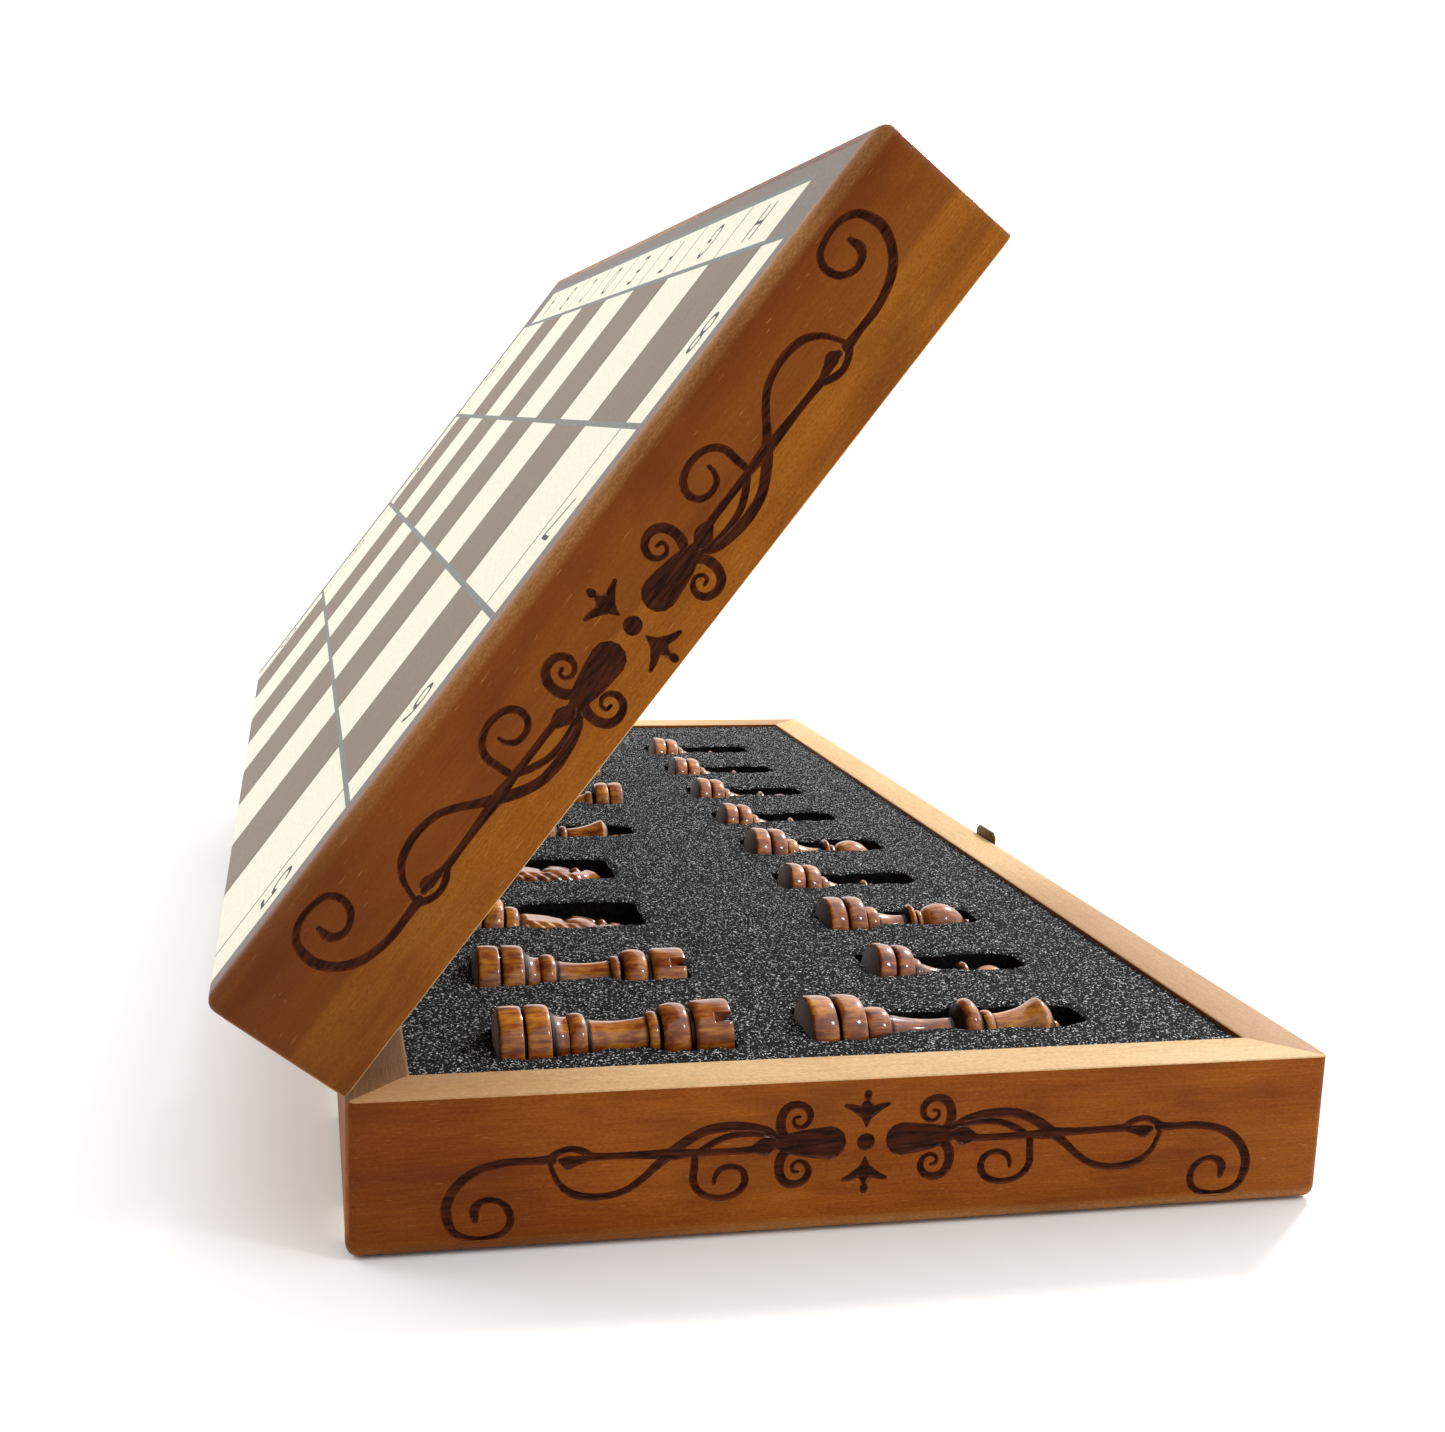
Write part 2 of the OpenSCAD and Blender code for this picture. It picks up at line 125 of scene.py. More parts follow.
def from_bmesh(name, bm, materials, matrix, sharp_angle=35):
    mesh = to_mesh(name, bm)
    for material in materials:
        mesh.materials.append(material)
    mesh.shade_smooth()
    mesh.set_sharp_from_angle(angle=math.radians(sharp_angle))
    return add_object(name, mesh, matrix)


def bridge(bm, rows, look=0):
    """Faces from each closed row of vertices to the next. A row may be a single point."""
    for low, high in zip(rows, rows[1:]):
        for i in range(max(len(low), len(high))):
            around = ((low, i), (low, i + 1), (high, i + 1), (high, i))
            corners = dict.fromkeys(row[k % len(row)] for row, k in around)
            bm.faces.new(list(corners)).material_index = look


def loft(levels):
    """Closed mesh through outlines with the same number of points, in mm."""
    bm = bmesh.new()
    rings = [[bm.verts.new(Vector(p) * MM) for p in level] for level in levels]
    bridge(bm, rings)
    bm.faces.new(rings[0])
    bm.faces.new(rings[-1])
    bmesh.ops.remove_doubles(bm, verts=bm.verts, dist=TINY)
    return bm


def join(bm, other):
    """Adds another bmesh to bm, and frees it."""
    mesh = to_mesh("joined", other)
    bm.from_mesh(mesh)
    bpy.data.meshes.remove(mesh)


def arc(cx, cy, rx, ry, start, end, steps=8):
    """Points of an elliptic arc between two angles in degrees."""
    turns = [math.radians(start + (end - start) * i / steps) for i in range(steps + 1)]
    return [(cx + rx * math.cos(a), cy + ry * math.sin(a)) for a in turns]


def smooth_line(points, steps=6):
    """Catmull-Rom curve through points with any number of values each."""
    p = np.array(points, float)
    p = np.vstack([2 * p[0] - p[1], p, 2 * p[-1] - p[-2]])
    out = []
    for i in range(1, len(p) - 2):
        for t in np.linspace(0, 1, steps, endpoint=False):
            a = 2 * p[i] + (p[i + 1] - p[i - 1]) * t
            b = (2 * p[i - 1] - 5 * p[i] + 4 * p[i + 1] - p[i + 2]) * t * t
            c = (3 * p[i] - p[i - 1] - 3 * p[i + 1] + p[i + 2]) * t ** 3
            out.append((a + b + c) / 2)
    out.append(p[-2])
    return np.array(out)


def stroke_outline(stroke, shrink):
    """Closed outline of a stroke of (x, y, half width) points, drawn in by shrink."""
    xy = stroke[:, :2]
    along = np.gradient(xy, axis=0)
    along /= np.linalg.norm(along, axis=1)[:, None] + 1e-12
    normal = np.stack([-along[:, 1], along[:, 0]], 1)
    half = np.maximum(stroke[:, 2] - shrink, 0.05)[:, None]
    caps = np.radians([30, 60, 90, 120, 150])
    ends = []
    for k, turn in ((-1, 1), (0, -1)):
        n, t, h = normal[k], along[k] * turn, half[k]
        ends.append([xy[k] + h * (n * turn * math.cos(a) + t * math.sin(a)) for a in caps])
    return np.vstack([xy + normal * half, ends[0], (xy - normal * half)[::-1], ends[1]])


def clearance(points, strokes):
    """How far each point lies inside the nearest edge of the strokes; negative outside."""
    best = np.full(len(points), -1e9)
    for s in strokes:
        a, b = s[:-1], s[1:]
        along = b[:, :2] - a[:, :2]
        span = (along ** 2).sum(1) + 1e-12
        rel = points[:, None, :] - a[None, :, :2]
        t = np.clip((rel * along[None]).sum(2) / span, 0, 1)
        away = np.linalg.norm(rel - t[..., None] * along[None], axis=2)
        half = a[:, 2] + t * (b[:, 2] - a[:, 2])
        best = np.maximum(best, (half - away).max(1))
    return best


def closed_edges(first, count):
    return [(first + i, first + (i + 1) % count) for i in range(count)]


def triangulate(outlines, lines=(), points=()):
    """Delaunay triangles that keep every outline and line.

    Returns the points, the triangles, their middles, and what each point stands for.
    """
    places, edges = [], []
    for outline in outlines:
        edges += closed_edges(len(places), len(outline))
        places += [Vector(p[:2]) for p in outline]
    for line in lines:
        edges += [(len(places) + i, len(places) + i + 1) for i in range(len(line) - 1)]
        places += [Vector(p[:2]) for p in line]
    places += [Vector(p) for p in points]
    made = delaunay_2d_cdt(places, edges, [], 0, CDT_NEAR)
    xy = np.array([(p.x, p.y) for p in made[0]])
    triangles = [tuple(f) for f in made[2]]
    return xy, triangles, np.array([xy[list(t)].mean(0) for t in triangles]), made[3]


def jittered_grid(low, high, step, jog, rng):
    """Points at even steps over a plan, each moved by up to jog."""
    across = [np.arange(low[k], high[k], step) for k in (0, 1)]
    grid = np.stack(np.meshgrid(*across), -1).reshape(-1, 2)
    return grid + rng.uniform(-jog, jog, grid.shape)


# ---------- material helpers ----------


def add_node(tree, kind, inputs=(), **settings):
    """New node with its settings, and a value or a link for each named input."""
    node = tree.nodes.new(kind)
    for key, value in settings.items():
        setattr(node, key, value)
    for key, value in dict(inputs).items():
        if isinstance(value, bpy.types.NodeSocket):
            tree.links.new(value, node.inputs[key])
        else:
            node.inputs[key].default_value = rgb(value) if isinstance(value, str) else value
    return node


class Paint:
    """Short calls for building one node material."""

    def __init__(self, name, roughness=0.5, **shader):
        self.material = bpy.data.materials.new(name)
        self.material.use_nodes = True
        self.tree = self.material.node_tree
        self.shader = self.tree.nodes["Principled BSDF"]
        self.shader.inputs["Roughness"].default_value = roughness
        for key, value in shader.items():
            self.shader.inputs[key.replace("_", " ")].default_value = value
        self.place = self.tree.nodes.new("ShaderNodeTexCoord").outputs["Object"]

    def add(self, kind, inputs=(), **settings):
        return add_node(self.tree, kind, inputs, **settings)

    def scaled(self, x, y, z):
        """Object coordinates stretched by counts per metre."""
        node = self.add("ShaderNodeMapping", {"Vector": self.place, "Scale": (x, y, z)})
        return node.outputs["Vector"]

    def noise(self, vector, scale=1.0, detail=3.0, roughness=0.55, distortion=0.0):
        inputs = {"Vector": vector, "Scale": scale, "Detail": detail}
        inputs.update({"Roughness": roughness, "Distortion": distortion})
        return self.add("ShaderNodeTexNoise", inputs).outputs["Fac"]

    def cells(self, vector, scale, feature="F1"):
        node = self.add("ShaderNodeTexVoronoi", {"Vector": vector, "Scale": scale}, feature=feature)
        return node.outputs["Distance"]

    def ramp(self, fac, stops):
        node = self.add("ShaderNodeValToRGB", {"Fac": fac})
        marks = node.color_ramp.elements
        while len(marks) < len(stops):
            marks.new(0.5)
        for mark, (where, colour) in zip(marks, stops):
            mark.position = where
            mark.color = rgb(colour) if isinstance(colour, str) else (colour, colour, colour, 1)
        return node.outputs["Color"]

    def mix(self, fac, a, b, blend="MIX"):
        inputs = {0: fac, 6: a, 7: b}
        return self.add("ShaderNodeMix", inputs, data_type="RGBA", blend_type=blend).outputs[2]

    def math(self, operation, a, b, c=0.0):
        return self.add("ShaderNodeMath", {0: a, 1: b, 2: c}, operation=operation).outputs[0]

    def total(self, *shares):
        """Sum of values, each times its own weight."""
        tone = 0.0
        for value, weight in shares:
            tone = self.math("MULTIPLY_ADD", value, weight, tone)
        return tone

    def span(self, value, low, high, to_low=0.0, to_high=1.0):
        inputs = {0: value, 1: low, 2: high, 3: to_low, 4: to_high}
        return self.add("ShaderNodeMapRange", inputs, interpolation_type="SMOOTHSTEP").outputs[0]

    def axis(self, name):
        return self.add("ShaderNodeSeparateXYZ", {0: self.place}).outputs[name]

    def attribute(self, name):
        return self.add("ShaderNodeAttribute", attribute_name=name).outputs["Fac"]

    def shifted(self, name):
        """Coordinates moved by a stored number, so that equal pieces don't share one grain."""
        inputs = {0: self.place, 1: self.attribute(name)}
        return self.add("ShaderNodeVectorMath", inputs, operation="ADD").outputs["Vector"]

    def link(self, socket, name):
        self.tree.links.new(socket, self.shader.inputs[name])

    def colour(self, socket):
        self.link(socket, "Base Color")

    def rough(self, socket):
        self.link(socket, "Roughness")

    def bump(self, height, distance, strength=1.0):
        inputs = {"Height": height, "Distance": distance, "Strength": strength}
        normal = self.add("ShaderNodeBump", inputs).outputs["Normal"]
        self.link(normal, "Normal")


def rgb(code):
    """Linear colour of a #rrggbb code."""
    parts = [int(code[i:i + 2], 16) / 255 for i in (1, 3, 5)]
    linear = [p / 12.92 if p <= 0.04045 else ((p + 0.055) / 1.055) ** 2.4 for p in parts]
    return (*linear, 1)


# ---------- materials ----------


def grain(paint, dark, mid, light, stretch=0.05):
    """Wood colour with fine streaks, flecks and slow blotches along local X."""
    streaks = paint.noise(paint.scaled(2200 * stretch, 2200, 2200), detail=6, roughness=0.72)
    bands = paint.noise(paint.scaled(9, 190, 190), detail=3, distortion=0.6)
    blotch = paint.noise(paint.scaled(22, 45, 45), detail=2)
    tone = paint.total((streaks, 0.55), (bands, 0.3), (blotch, 0.35))
    colour = paint.ramp(paint.math("SUBTRACT", tone, 0.1), [(0.18, dark), (0.42, mid), (0.72, light)])
    speckle = paint.ramp(paint.noise(paint.scaled(1300, 3000, 3000), detail=2), [(0.38, 0.55), (0.6, 1.0)])
    return paint.mix(0.5, colour, speckle, "MULTIPLY"), streaks


# Depths from the seam and places along a rail, in metres, where the frame's colour changes: its darker
# outer bands, its edge band lightened as wear and painted highlight, and the runs towards the hinge end
# darkened as painted shade.
OUTER_BAND = (0.0132, 0.0152)
LAST_BAND = (0.0225, 0.0262)
WORN_AND_LIT_EDGE = (0.0268, 0.0286)
EDGE_LIGHT_RUN = (-0.09, 0.03)
SHADED_RUN = (-0.095, -0.03)
SHADED_RIM = (-0.095, -0.02)


def stained_wood(name, side, tones, two_tone=0.0):
    """Stained frame wood. Its outer part is darker by two_tone. Its outer edge band is lightened, partly
    as wear and partly as painted highlight, and the wood darkens towards the hinge end as painted shade.
    """
    paint = Paint(name, roughness=0.5, Specular_IOR_Level=0.08)
    colour, streaks = grain(paint, *tones)
    straight = paint.math("MULTIPLY", paint.axis("Z"), float(side))
    wave = paint.math("MULTIPLY", paint.noise(paint.scaled(14, 60, 60)), 0.004)
    depth = paint.math("ADD", straight, wave)
    if two_tone:
        outer = paint.span(depth, *OUTER_BAND)
        colour = paint.mix(paint.math("MULTIPLY", outer, two_tone), colour, "#6c320e")
        last = paint.span(depth, *LAST_BAND)
        colour = paint.mix(paint.math("MULTIPLY", last, two_tone * 0.3), colour, "#571f0c")
    flecks = paint.noise(paint.scaled(1300, 3600, 3600), detail=3)
    # Painted highlight: the outer edge band is lightened, partly as wear and partly for the light the
    # rounded edge catches, less so towards the hinge end, which lies in shade.
    edge = paint.span(straight, *WORN_AND_LIT_EDGE)
    wear_and_highlight = paint.math("MULTIPLY", edge, paint.span(flecks, 0.4, 0.66, 0.3, 0.65))
    wear_and_highlight = paint.math("MULTIPLY", wear_and_highlight, paint.span(paint.axis("X"), *EDGE_LIGHT_RUN, 0.3, 1.0))
    colour = paint.mix(wear_and_highlight, colour, "#b98850")
    pores = paint.noise(paint.scaled(260, 2200, 2200), detail=1)
    colour = paint.mix(paint.span(pores, 0.68, 0.76, 0.0, 0.24), colour, "#cf9a5c")
    stain = paint.noise(paint.scaled(26, 95, 95), detail=3, roughness=0.6)
    colour = paint.mix(paint.span(stain, 0.42, 0.72, 0.0, 0.5), colour, "#57230a")
    # Painted shade: the frame darkens towards the hinge end, which the lid shades.
    shaded_end = paint.span(paint.axis("X"), *SHADED_RUN, 0.46, 0.0)
    colour = paint.mix(shaded_end, colour, "#4a1a02")
    paint.colour(colour)
    paint.rough(paint.span(streaks, 0.3, 0.7, 0.34, 0.5))
    paint.bump(streaks, 0.00012, 0.5)
    return paint.material


def rim_wood(name, *tones):
    """Rim wood with a coarser grain, darkened towards the hinge end as painted shade. Its tones carry
    painted light on the upward rims and painted shade on the hinge rim.
    """
    paint = Paint(name, roughness=0.6, Specular_IOR_Level=0.3)
    colour, streaks = grain(paint, *tones)
    rough_grain = paint.noise(paint.scaled(90, 900, 900), detail=4, roughness=0.7)
    colour = paint.mix(paint.span(rough_grain, 0.55, 0.75, 0.0, 0.35), colour, "#96693a")
    # Painted shade: the rims darken towards the hinge end, under the lid.
    shaded_end = paint.span(paint.axis("X"), *SHADED_RIM, 0.55, 0.0)
    paint.colour(paint.mix(shaded_end, colour, "#7c4414"))
    paint.bump(rough_grain, 0.0002, 0.6)
    return paint.material


def burnt_groove(name, low, high, gloss):
    """Scorched wood of the engraving, with its grain still showing."""
    paint = Paint(name, roughness=0.5, Specular_IOR_Level=0.06, Coat_Weight=gloss, Coat_Roughness=0.2)
    soot = paint.noise(paint.scaled(160, 1400, 1400), detail=4, roughness=0.65)
    paint.colour(paint.ramp(soot, [(0.36, low), (0.66, high)]))
    paint.bump(soot, 0.00012, 0.6)
    return paint.material


def printed(name, low, high, grainy=0.0):
    """Satin printed film over the board, with the faint grain of the print."""
    paint = Paint(name, roughness=0.5, Specular_IOR_Level=0.15)
    fibre = paint.noise(paint.scaled(70, 1300, 1300), detail=5, roughness=0.7)
    speck = paint.noise(paint.scaled(900, 900, 900), detail=2)
    tone = paint.mix(grainy, speck, fibre)
    paint.colour(paint.ramp(tone, [(0.3, low), (0.7, high)]))
    paint.bump(speck, 0.00003, 0.3)
    return paint.material


def foam_cells():
    """Open-cell foam: dark pores between struts, some of them painted near white as painted glints."""
    paint = Paint("foam_cells", roughness=0.75, Specular_IOR_Level=0.12)
    place = paint.scaled(1, 1, 1)
    struts = paint.cells(place, 1500, "DISTANCE_TO_EDGE")
    fine = paint.noise(place, 2400, detail=2)
    spark = paint.noise(place, 1900, detail=1)
    net = paint.span(struts, 0.02, 0.24, 1.0, 0.0)
    shade = [(0.04, "#040505"), (0.3, "#121415"), (0.62, "#303335")]
    colour = paint.ramp(paint.math("MULTIPLY", net, fine), shade)
    # Painted highlight: some struts are painted near white and made glossier, standing for glints of
    # light.
    bright = paint.math("MULTIPLY", paint.span(spark, 0.59, 0.64), net)
    colour = paint.mix(bright, colour, "#f6f8fa")
    paint.colour(colour)
    paint.rough(paint.span(bright, 0.0, 1.0, 0.85, 0.35))
    paint.bump(paint.math("ADD", net, fine), 0.0006, 0.9)
    return paint.material


def shaded_foam_cut():
    """Cut foam of the pocket walls and floors, also used on the insert's sides and back, painted darker
    than the top as painted shade in the pockets.
    """
    paint = Paint("shaded_foam_cut", roughness=0.95, Specular_IOR_Level=0.1)
    pores = paint.noise(paint.scaled(1100, 1100, 1100), detail=3)
    # Painted shade: the pockets' walls and floors are painted darker than the foam's top.
    paint.colour(paint.ramp(pores, [(0.35, "#050505"), (0.7, "#17181a")]))
    paint.bump(pores, 0.0005, 0.8)
    return paint.material


def lacquer(name, groove, deep, mid, light):
    """Glossy lacquer over wood that is turned with its grain along local Z, painted dark in its creases as
    painted shade.
    """
    paint = Paint(name, roughness=0.4, Specular_IOR_Level=0.2, Coat_Roughness=0.09)
    paint.place = paint.shifted("seed")
    streaks = paint.noise(paint.scaled(1300, 1300, 120), detail=4, roughness=0.65)
    mottle = paint.noise(paint.scaled(420, 420, 260), detail=3)
    blotch = paint.noise(paint.scaled(60, 60, 40), detail=1)
    tone = paint.total((streaks, 0.45), (mottle, 0.45), (blotch, 0.3))
    colour = paint.ramp(tone, [(0.4, deep), (0.56, mid), (0.74, light)])
    # Painted shade: creases are painted towards the groove colour and lose their coat, standing for the
    # shade in the hollows.
    crease = paint.span(paint.attribute("crease"), 0.0, 0.55)
    paint.colour(paint.mix(crease, colour, groove))
    paint.link(paint.span(crease, 0.0, 1.0, 1.0, 0.12), "Coat Weight")
    paint.bump(streaks, 0.00006, 0.6)
    return paint.material


def felt(name, low, high):
    paint = Paint(name, roughness=0.95, Sheen_Weight=0.6)
    fuzz = paint.noise(paint.scaled(1600, 1600, 1600), detail=3)
    paint.colour(paint.ramp(fuzz, [(0.35, low), (0.7, high)]))
    paint.bump(fuzz, 0.0002, 0.8)
    return paint.material


def worn_metal(name, base, bright, roughness, brushed):
    """Metal with brush lines, dull patches and bright scuffs."""
    paint = Paint(name, roughness=roughness, Metallic=1.0)
    lines = paint.noise(paint.scaled(brushed, 2500, brushed), detail=3)
    patches = paint.noise(paint.scaled(160, 160, 160), detail=3)
    tone = paint.total((lines, 0.5), (patches, 0.5))
    paint.colour(paint.ramp(tone, [(0.35, base), (0.65, bright)]))
    paint.rough(paint.span(patches, 0.3, 0.7, roughness - 0.08, roughness + 0.15))
    paint.bump(lines, 0.00003, 0.4)
    return paint.material


def floor_paint():
    paint = Paint("studio_floor", roughness=0.6)
    paint.shader.inputs["Base Color"].default_value = (0.93, 0.93, 0.92, 1)
    return paint.material


FRAME_TONES = ("#5c2405", "#88420b", "#a96219")
WOOD = {
    "base": stained_wood("base_stained_wood", -1, FRAME_TONES),
    "lid": stained_wood("lid_stained_wood", 1, ("#6e370b", "#90500f", "#a96c20"), two_tone=0.62),
}
# Painted light: the upward rims are painted much paler than the frame, standing for the light and sheen
# they catch.
RIM_WOOD = rim_wood("pale_lit_rim_wood", "#af834d", "#d1a76e", "#e6c290")
# Painted shade: the hinge rim is dark brown, partly for its rougher wood and partly for the shade under
# the lid.
SHADED_HINGE_RIM_WOOD = rim_wood("brown_shaded_rim_wood", "#4a2d16", "#6f4a28", "#94693c")
GROOVE = burnt_groove("burnt_groove", "#1c0a04", "#4c2210", 0.0)
GROOVE_WALL = burnt_groove("burnt_groove_wall", "#2c1006", "#6a3012", 0.4)
CREAM = printed("cream_print", "#d8d3bc", "#e5e0cc")
WALNUT = printed("walnut_print", "#604d3e", "#837059", grainy=0.6)
MARGIN = printed("margin_print", "#5f5149", "#7a6c62", grainy=0.4)
LINE_GREY = printed("grey_line_print", "#5a605b", "#727872")
LINE_BLACK = printed("black_line_print", "#070605", "#171512")
FOAM_TOP = foam_cells()
SHADED_FOAM_CUT = shaded_foam_cut()
# Each lacquer's first tone is the painted shade of its creases.
LACQUER = {
    "dark": lacquer("dark_lacquer_wood", "#0e0402", "#240902", "#8f4207", "#d98e2a"),
    "light": lacquer("light_lacquer_wood", "#4e2a0e", "#a5672c", "#d9ab6c", "#ecca92"),
}
FELT = {
    "dark": felt("brown_felt", "#260d05", "#4d2110"),
    "light": felt("green_felt", "#20351f", "#3d5a38"),
}
STEEL = worn_metal("hinge_steel", "#8d8878", "#c4beac", 0.32, 120)
BRONZE = worn_metal("aged_bronze", "#3d2c1a", "#85683f", 0.42, 200)


# ---------- frame rails ----------


def rail_outline(run, depth, inset, inner, square_end=False):
    """Plan of a rail at one depth: outer edge with its rounded corners, then the inner edge."""
    reach = max(CORNER_R, inset)
    radius = reach - inset
    end = run / 2 - reach

    def corner(way, last):
        turns = [math.radians(last * i / 3) for i in range(4)]
        return [(way * (end + radius * math.sin(a)), reach - radius * math.cos(a)) for a in turns]

    back = (-run / 2 + inset) if square_end else -(run / 2 - inner)
    outline = corner(-1, 90 if square_end else 45)[::-1] + corner(1, 45)
    outline += [(run / 2 - inner, inner), (back, inner)]
    return [(x, y, depth) for x, y in outline]


def rail_levels(run, lip, square_end):
    """Outlines of a rail from its rim down, then down its lip beside the panel."""
    levels = []
    for a in np.radians([0, 30, 60, 90]):
        off = RIM_R * (1 - math.sin(a))
        levels.append(rail_outline(run, RIM + RIM_R * (1 - math.cos(a)), off, RAIL_T - off))
    levels.append(rail_outline(run, SEAT, 0, RAIL_T))
    if lip:
        levels.append(rail_outline(run, SEAT, 0, lip, square_end))
        for a in np.radians([0, 22.5, 45, 67.5, 90]):
            depth = HALF_H - EDGE_R * (1 - math.sin(a))
            levels.append(rail_outline(run, depth, EDGE_R * (1 - math.cos(a)), lip, square_end))
    return levels


def carve(bm, side, strokes, deep=0.5, wall=0.3):
    """Cuts strokes of (x, depth, half width) into a rail's flat outer face."""
    flat = [f for f in bm.faces if all(abs(v.co.y) < TINY for v in f.verts)]
    rim = {v for f in flat for v in f.verts}
    middle = Vector((0, 0, side * HALF_H / 2 * MM))
    loop = sorted(rim, key=lambda v: math.atan2(side * (v.co - middle).z, (v.co - middle).x))
    bmesh.ops.delete(bm, geom=flat, context="FACES")
    outline = [(v.co.x / MM, side * v.co.z / MM) for v in loop]
    grooves = [stroke_outline(s, shrink) for s in strokes for shrink in (0, wall)]
    xy, triangles, centres, sources = triangulate([outline] + grooves)
    inside = clearance(xy, strokes)
    sunk = np.clip((inside - 0.02) / wall, 0, 1) * deep
    bm.verts.index_update()
    made = []
    for i, (x, depth) in enumerate(xy):
        known = [k for k in sources[i] if k < len(loop)]
        if known:
            made.append(loop[known[0]])
        else:
            made.append(bm.verts.new((x * MM, sunk[i] * MM, side * depth * MM)))
    for t, inset in zip(triangles, clearance(centres, strokes)):
        corners = [made[k] for k in t]
        if len(set(corners)) == 3:
            look = WOOD_INK if inset <= 0 else WALL_INK if inset < wall * 0.8 else GROOVE_INK
            bm.faces.new(corners).material_index = look


def mirrored(strokes, x=1, y=1, y0=0.0):
    """Copies of the strokes reflected in X, or in Y about y0."""
    return [[(x * px, y * (py - y0) + y0, h) for px, py, h in s] for s in strokes]


# Strokes of the engraving's right half, as (along, outwards, half width) from its middle.
BULB = [(7.2, -0.2, 3.3), (10.5, -0.3, 2.9), (14, -0.4, 2.3), (16.5, -0.4, 1.3)]
CURL = [
    (15.2, -0.9, 0.9), (16.6, -2.8, 1.0), (16.8, -5.3, 0.95), (15.8, -7.3, 0.9), (13.9, -8, 0.8),
    (12, -7.4, 0.75), (11.1, -5.8, 0.7), (11.6, -4.2, 0.55), (13, -3.5, 0.45), (14.2, -4.2, 0.4),
    (14.2, -5.3, 0.4), (13.2, -5.6, 0.35),
]
CURL_MIDDLE = -0.2
STEM = [
    (16, -0.5, 0.6), (18.2, -0.4, 1.2), (19.7, -0.1, 1.8), (21.2, 0.2, 1.2), (22.8, 0.4, 0.75),
    (33, 0.4, 0.8), (37, 0.3, 1.2), (41, 0.2, 0.9), (48, 0.1, 0.7), (52.5, 0, 0.8),
]
VINE = [
    (16.8, -1.4, 0.6), (19.4, -3.2, 0.8), (23, -4.1, 0.95), (27, -4.4, 1), (31, -3.9, 0.95),
    (34.5, -2.2, 1), (37.5, 0, 1.1), (40.3, 2.3, 0.85), (43, 4.8, 0.75), (46, 6.8, 0.7),
    (49.5, 7.7, 0.7), (53, 7.7, 0.75), (56.3, 6.8, 0.75), (58.6, 4.8, 0.6), (59.7, 2.6, 0.5),
    (60.3, 1, 0.5),
]
INNER_VINE = [(18.8, -2.2, 0.5), (22.5, -2.8, 0.6), (26.5, -2.6, 0.65), (29.5, -1.5, 0.7), (32, 0, 0.7)]
TENDRIL = [
    (33.1, 0.6, 0.7), (33.2, 3.5, 0.75), (33.3, 5.8, 0.75), (32.4, 7.7, 0.7), (30.4, 9, 0.65),
    (27.6, 9.4, 0.65), (24.8, 8.6, 0.7), (23.4, 6.6, 0.75), (23.9, 4.4, 0.65), (25.8, 3.4, 0.6),
    (28, 3.7, 0.6), (29.1, 5.1, 0.5), (29.3, 6.5, 0.4),
]
BUD = [(52.5, -0.1, 0.7), (54.6, -1.3, 0.7), (56.8, -1.7, 0.65), (59, -1, 0.7), (60.6, 0.3, 0.9)]
BUD_HEART = [(53, 0.2, 0.6), (55.3, 0.6, 0.95), (56.9, 0.9, 1.3), (58.3, 0.5, 0.6)]
END_SCROLL = [
    (60, 0.2, 1), (63.6, 0.2, 0.75), (67.6, 0.2, 0.8), (70.6, 0.6, 0.8), (73.6, 1.5, 0.85),
    (76.1, 3, 0.9), (78.1, 5.3, 0.95), (79.2, 8, 1), (79, 10.5, 0.95), (78, 12.8, 0.75),
    (76, 14.1, 0.65), (73.6, 14.6, 0.6), (71, 14.4, 0.6), (68.7, 13.6, 0.65), (67.5, 11.8, 0.75),
    (67.8, 9.5, 0.75), (69, 8, 0.65), (71, 7.2, 0.6), (73, 7.6, 0.75), (74.1, 9, 0.95),
    (73.9, 11, 0.6),
]
# Strokes of the tulip over the middle, and the dot between both tulips.
TULIP_LEAF = [(0.6, -5.6, 1), (2.4, -6.7, 0.75), (4.2, -7.3, 0.4)]
TULIP = [
    [(0, -3.1, 0.25), (0, -5, 1.1), (0, -6.6, 1.4), (0, -7.8, 0.5), (0, -8.6, 0.4)],
    [(0, -9.1, 0.8), (0, -9.5, 0.75)],
    TULIP_LEAF, *mirrored([TULIP_LEAF], x=-1),
]
DOT = [(-0.05, 0, 1.75), (0.05, 0, 1.75)]


def filigree(centre, depth, stretch):
    """Scroll engraved on both ends of the box, as strokes around its middle."""
    half = [BULB, CURL, *mirrored([CURL], y=-1, y0=CURL_MIDDLE), STEM, VINE, INNER_VINE, TENDRIL]
    half += [BUD, BUD_HEART, END_SCROLL]
    drawn = half + mirrored(half, x=-1) + TULIP + mirrored(TULIP, y=-1) + [DOT]
    shift = np.array([centre, depth, 0])
    return [smooth_line(s) * (stretch, 1, 1) + shift for s in drawn]


# Turn of each rail about the tray's Z, and the middle of its outer face.
RAILS = {
    "near": (0, (WALL + WIDTH / 2, -LENGTH / 2)),
    "clasp": (90, (WALL + WIDTH, 0)),
    "far": (180, (WALL + WIDTH / 2, LENGTH / 2)),
    "hinge": (-90, (WALL, 0)),
}
# The engraving on each half: its middle from the face's middle, its depth and its stretch.
SCROLL = {"base": (0.8, 12.7, 0.985), "lid": (1.5, 11.2, 1.0)}
WOOD_INK, RIM_INK, GROOVE_INK, WALL_INK = range(4)


def rail_matrix(side_name, where):
    turn, (x, y) = RAILS[where]
    local = Matrix.Translation((x * MM, y * MM, 0)) @ Matrix.Rotation(math.radians(turn), 4, "Z")
    return TRAY[side_name] @ local


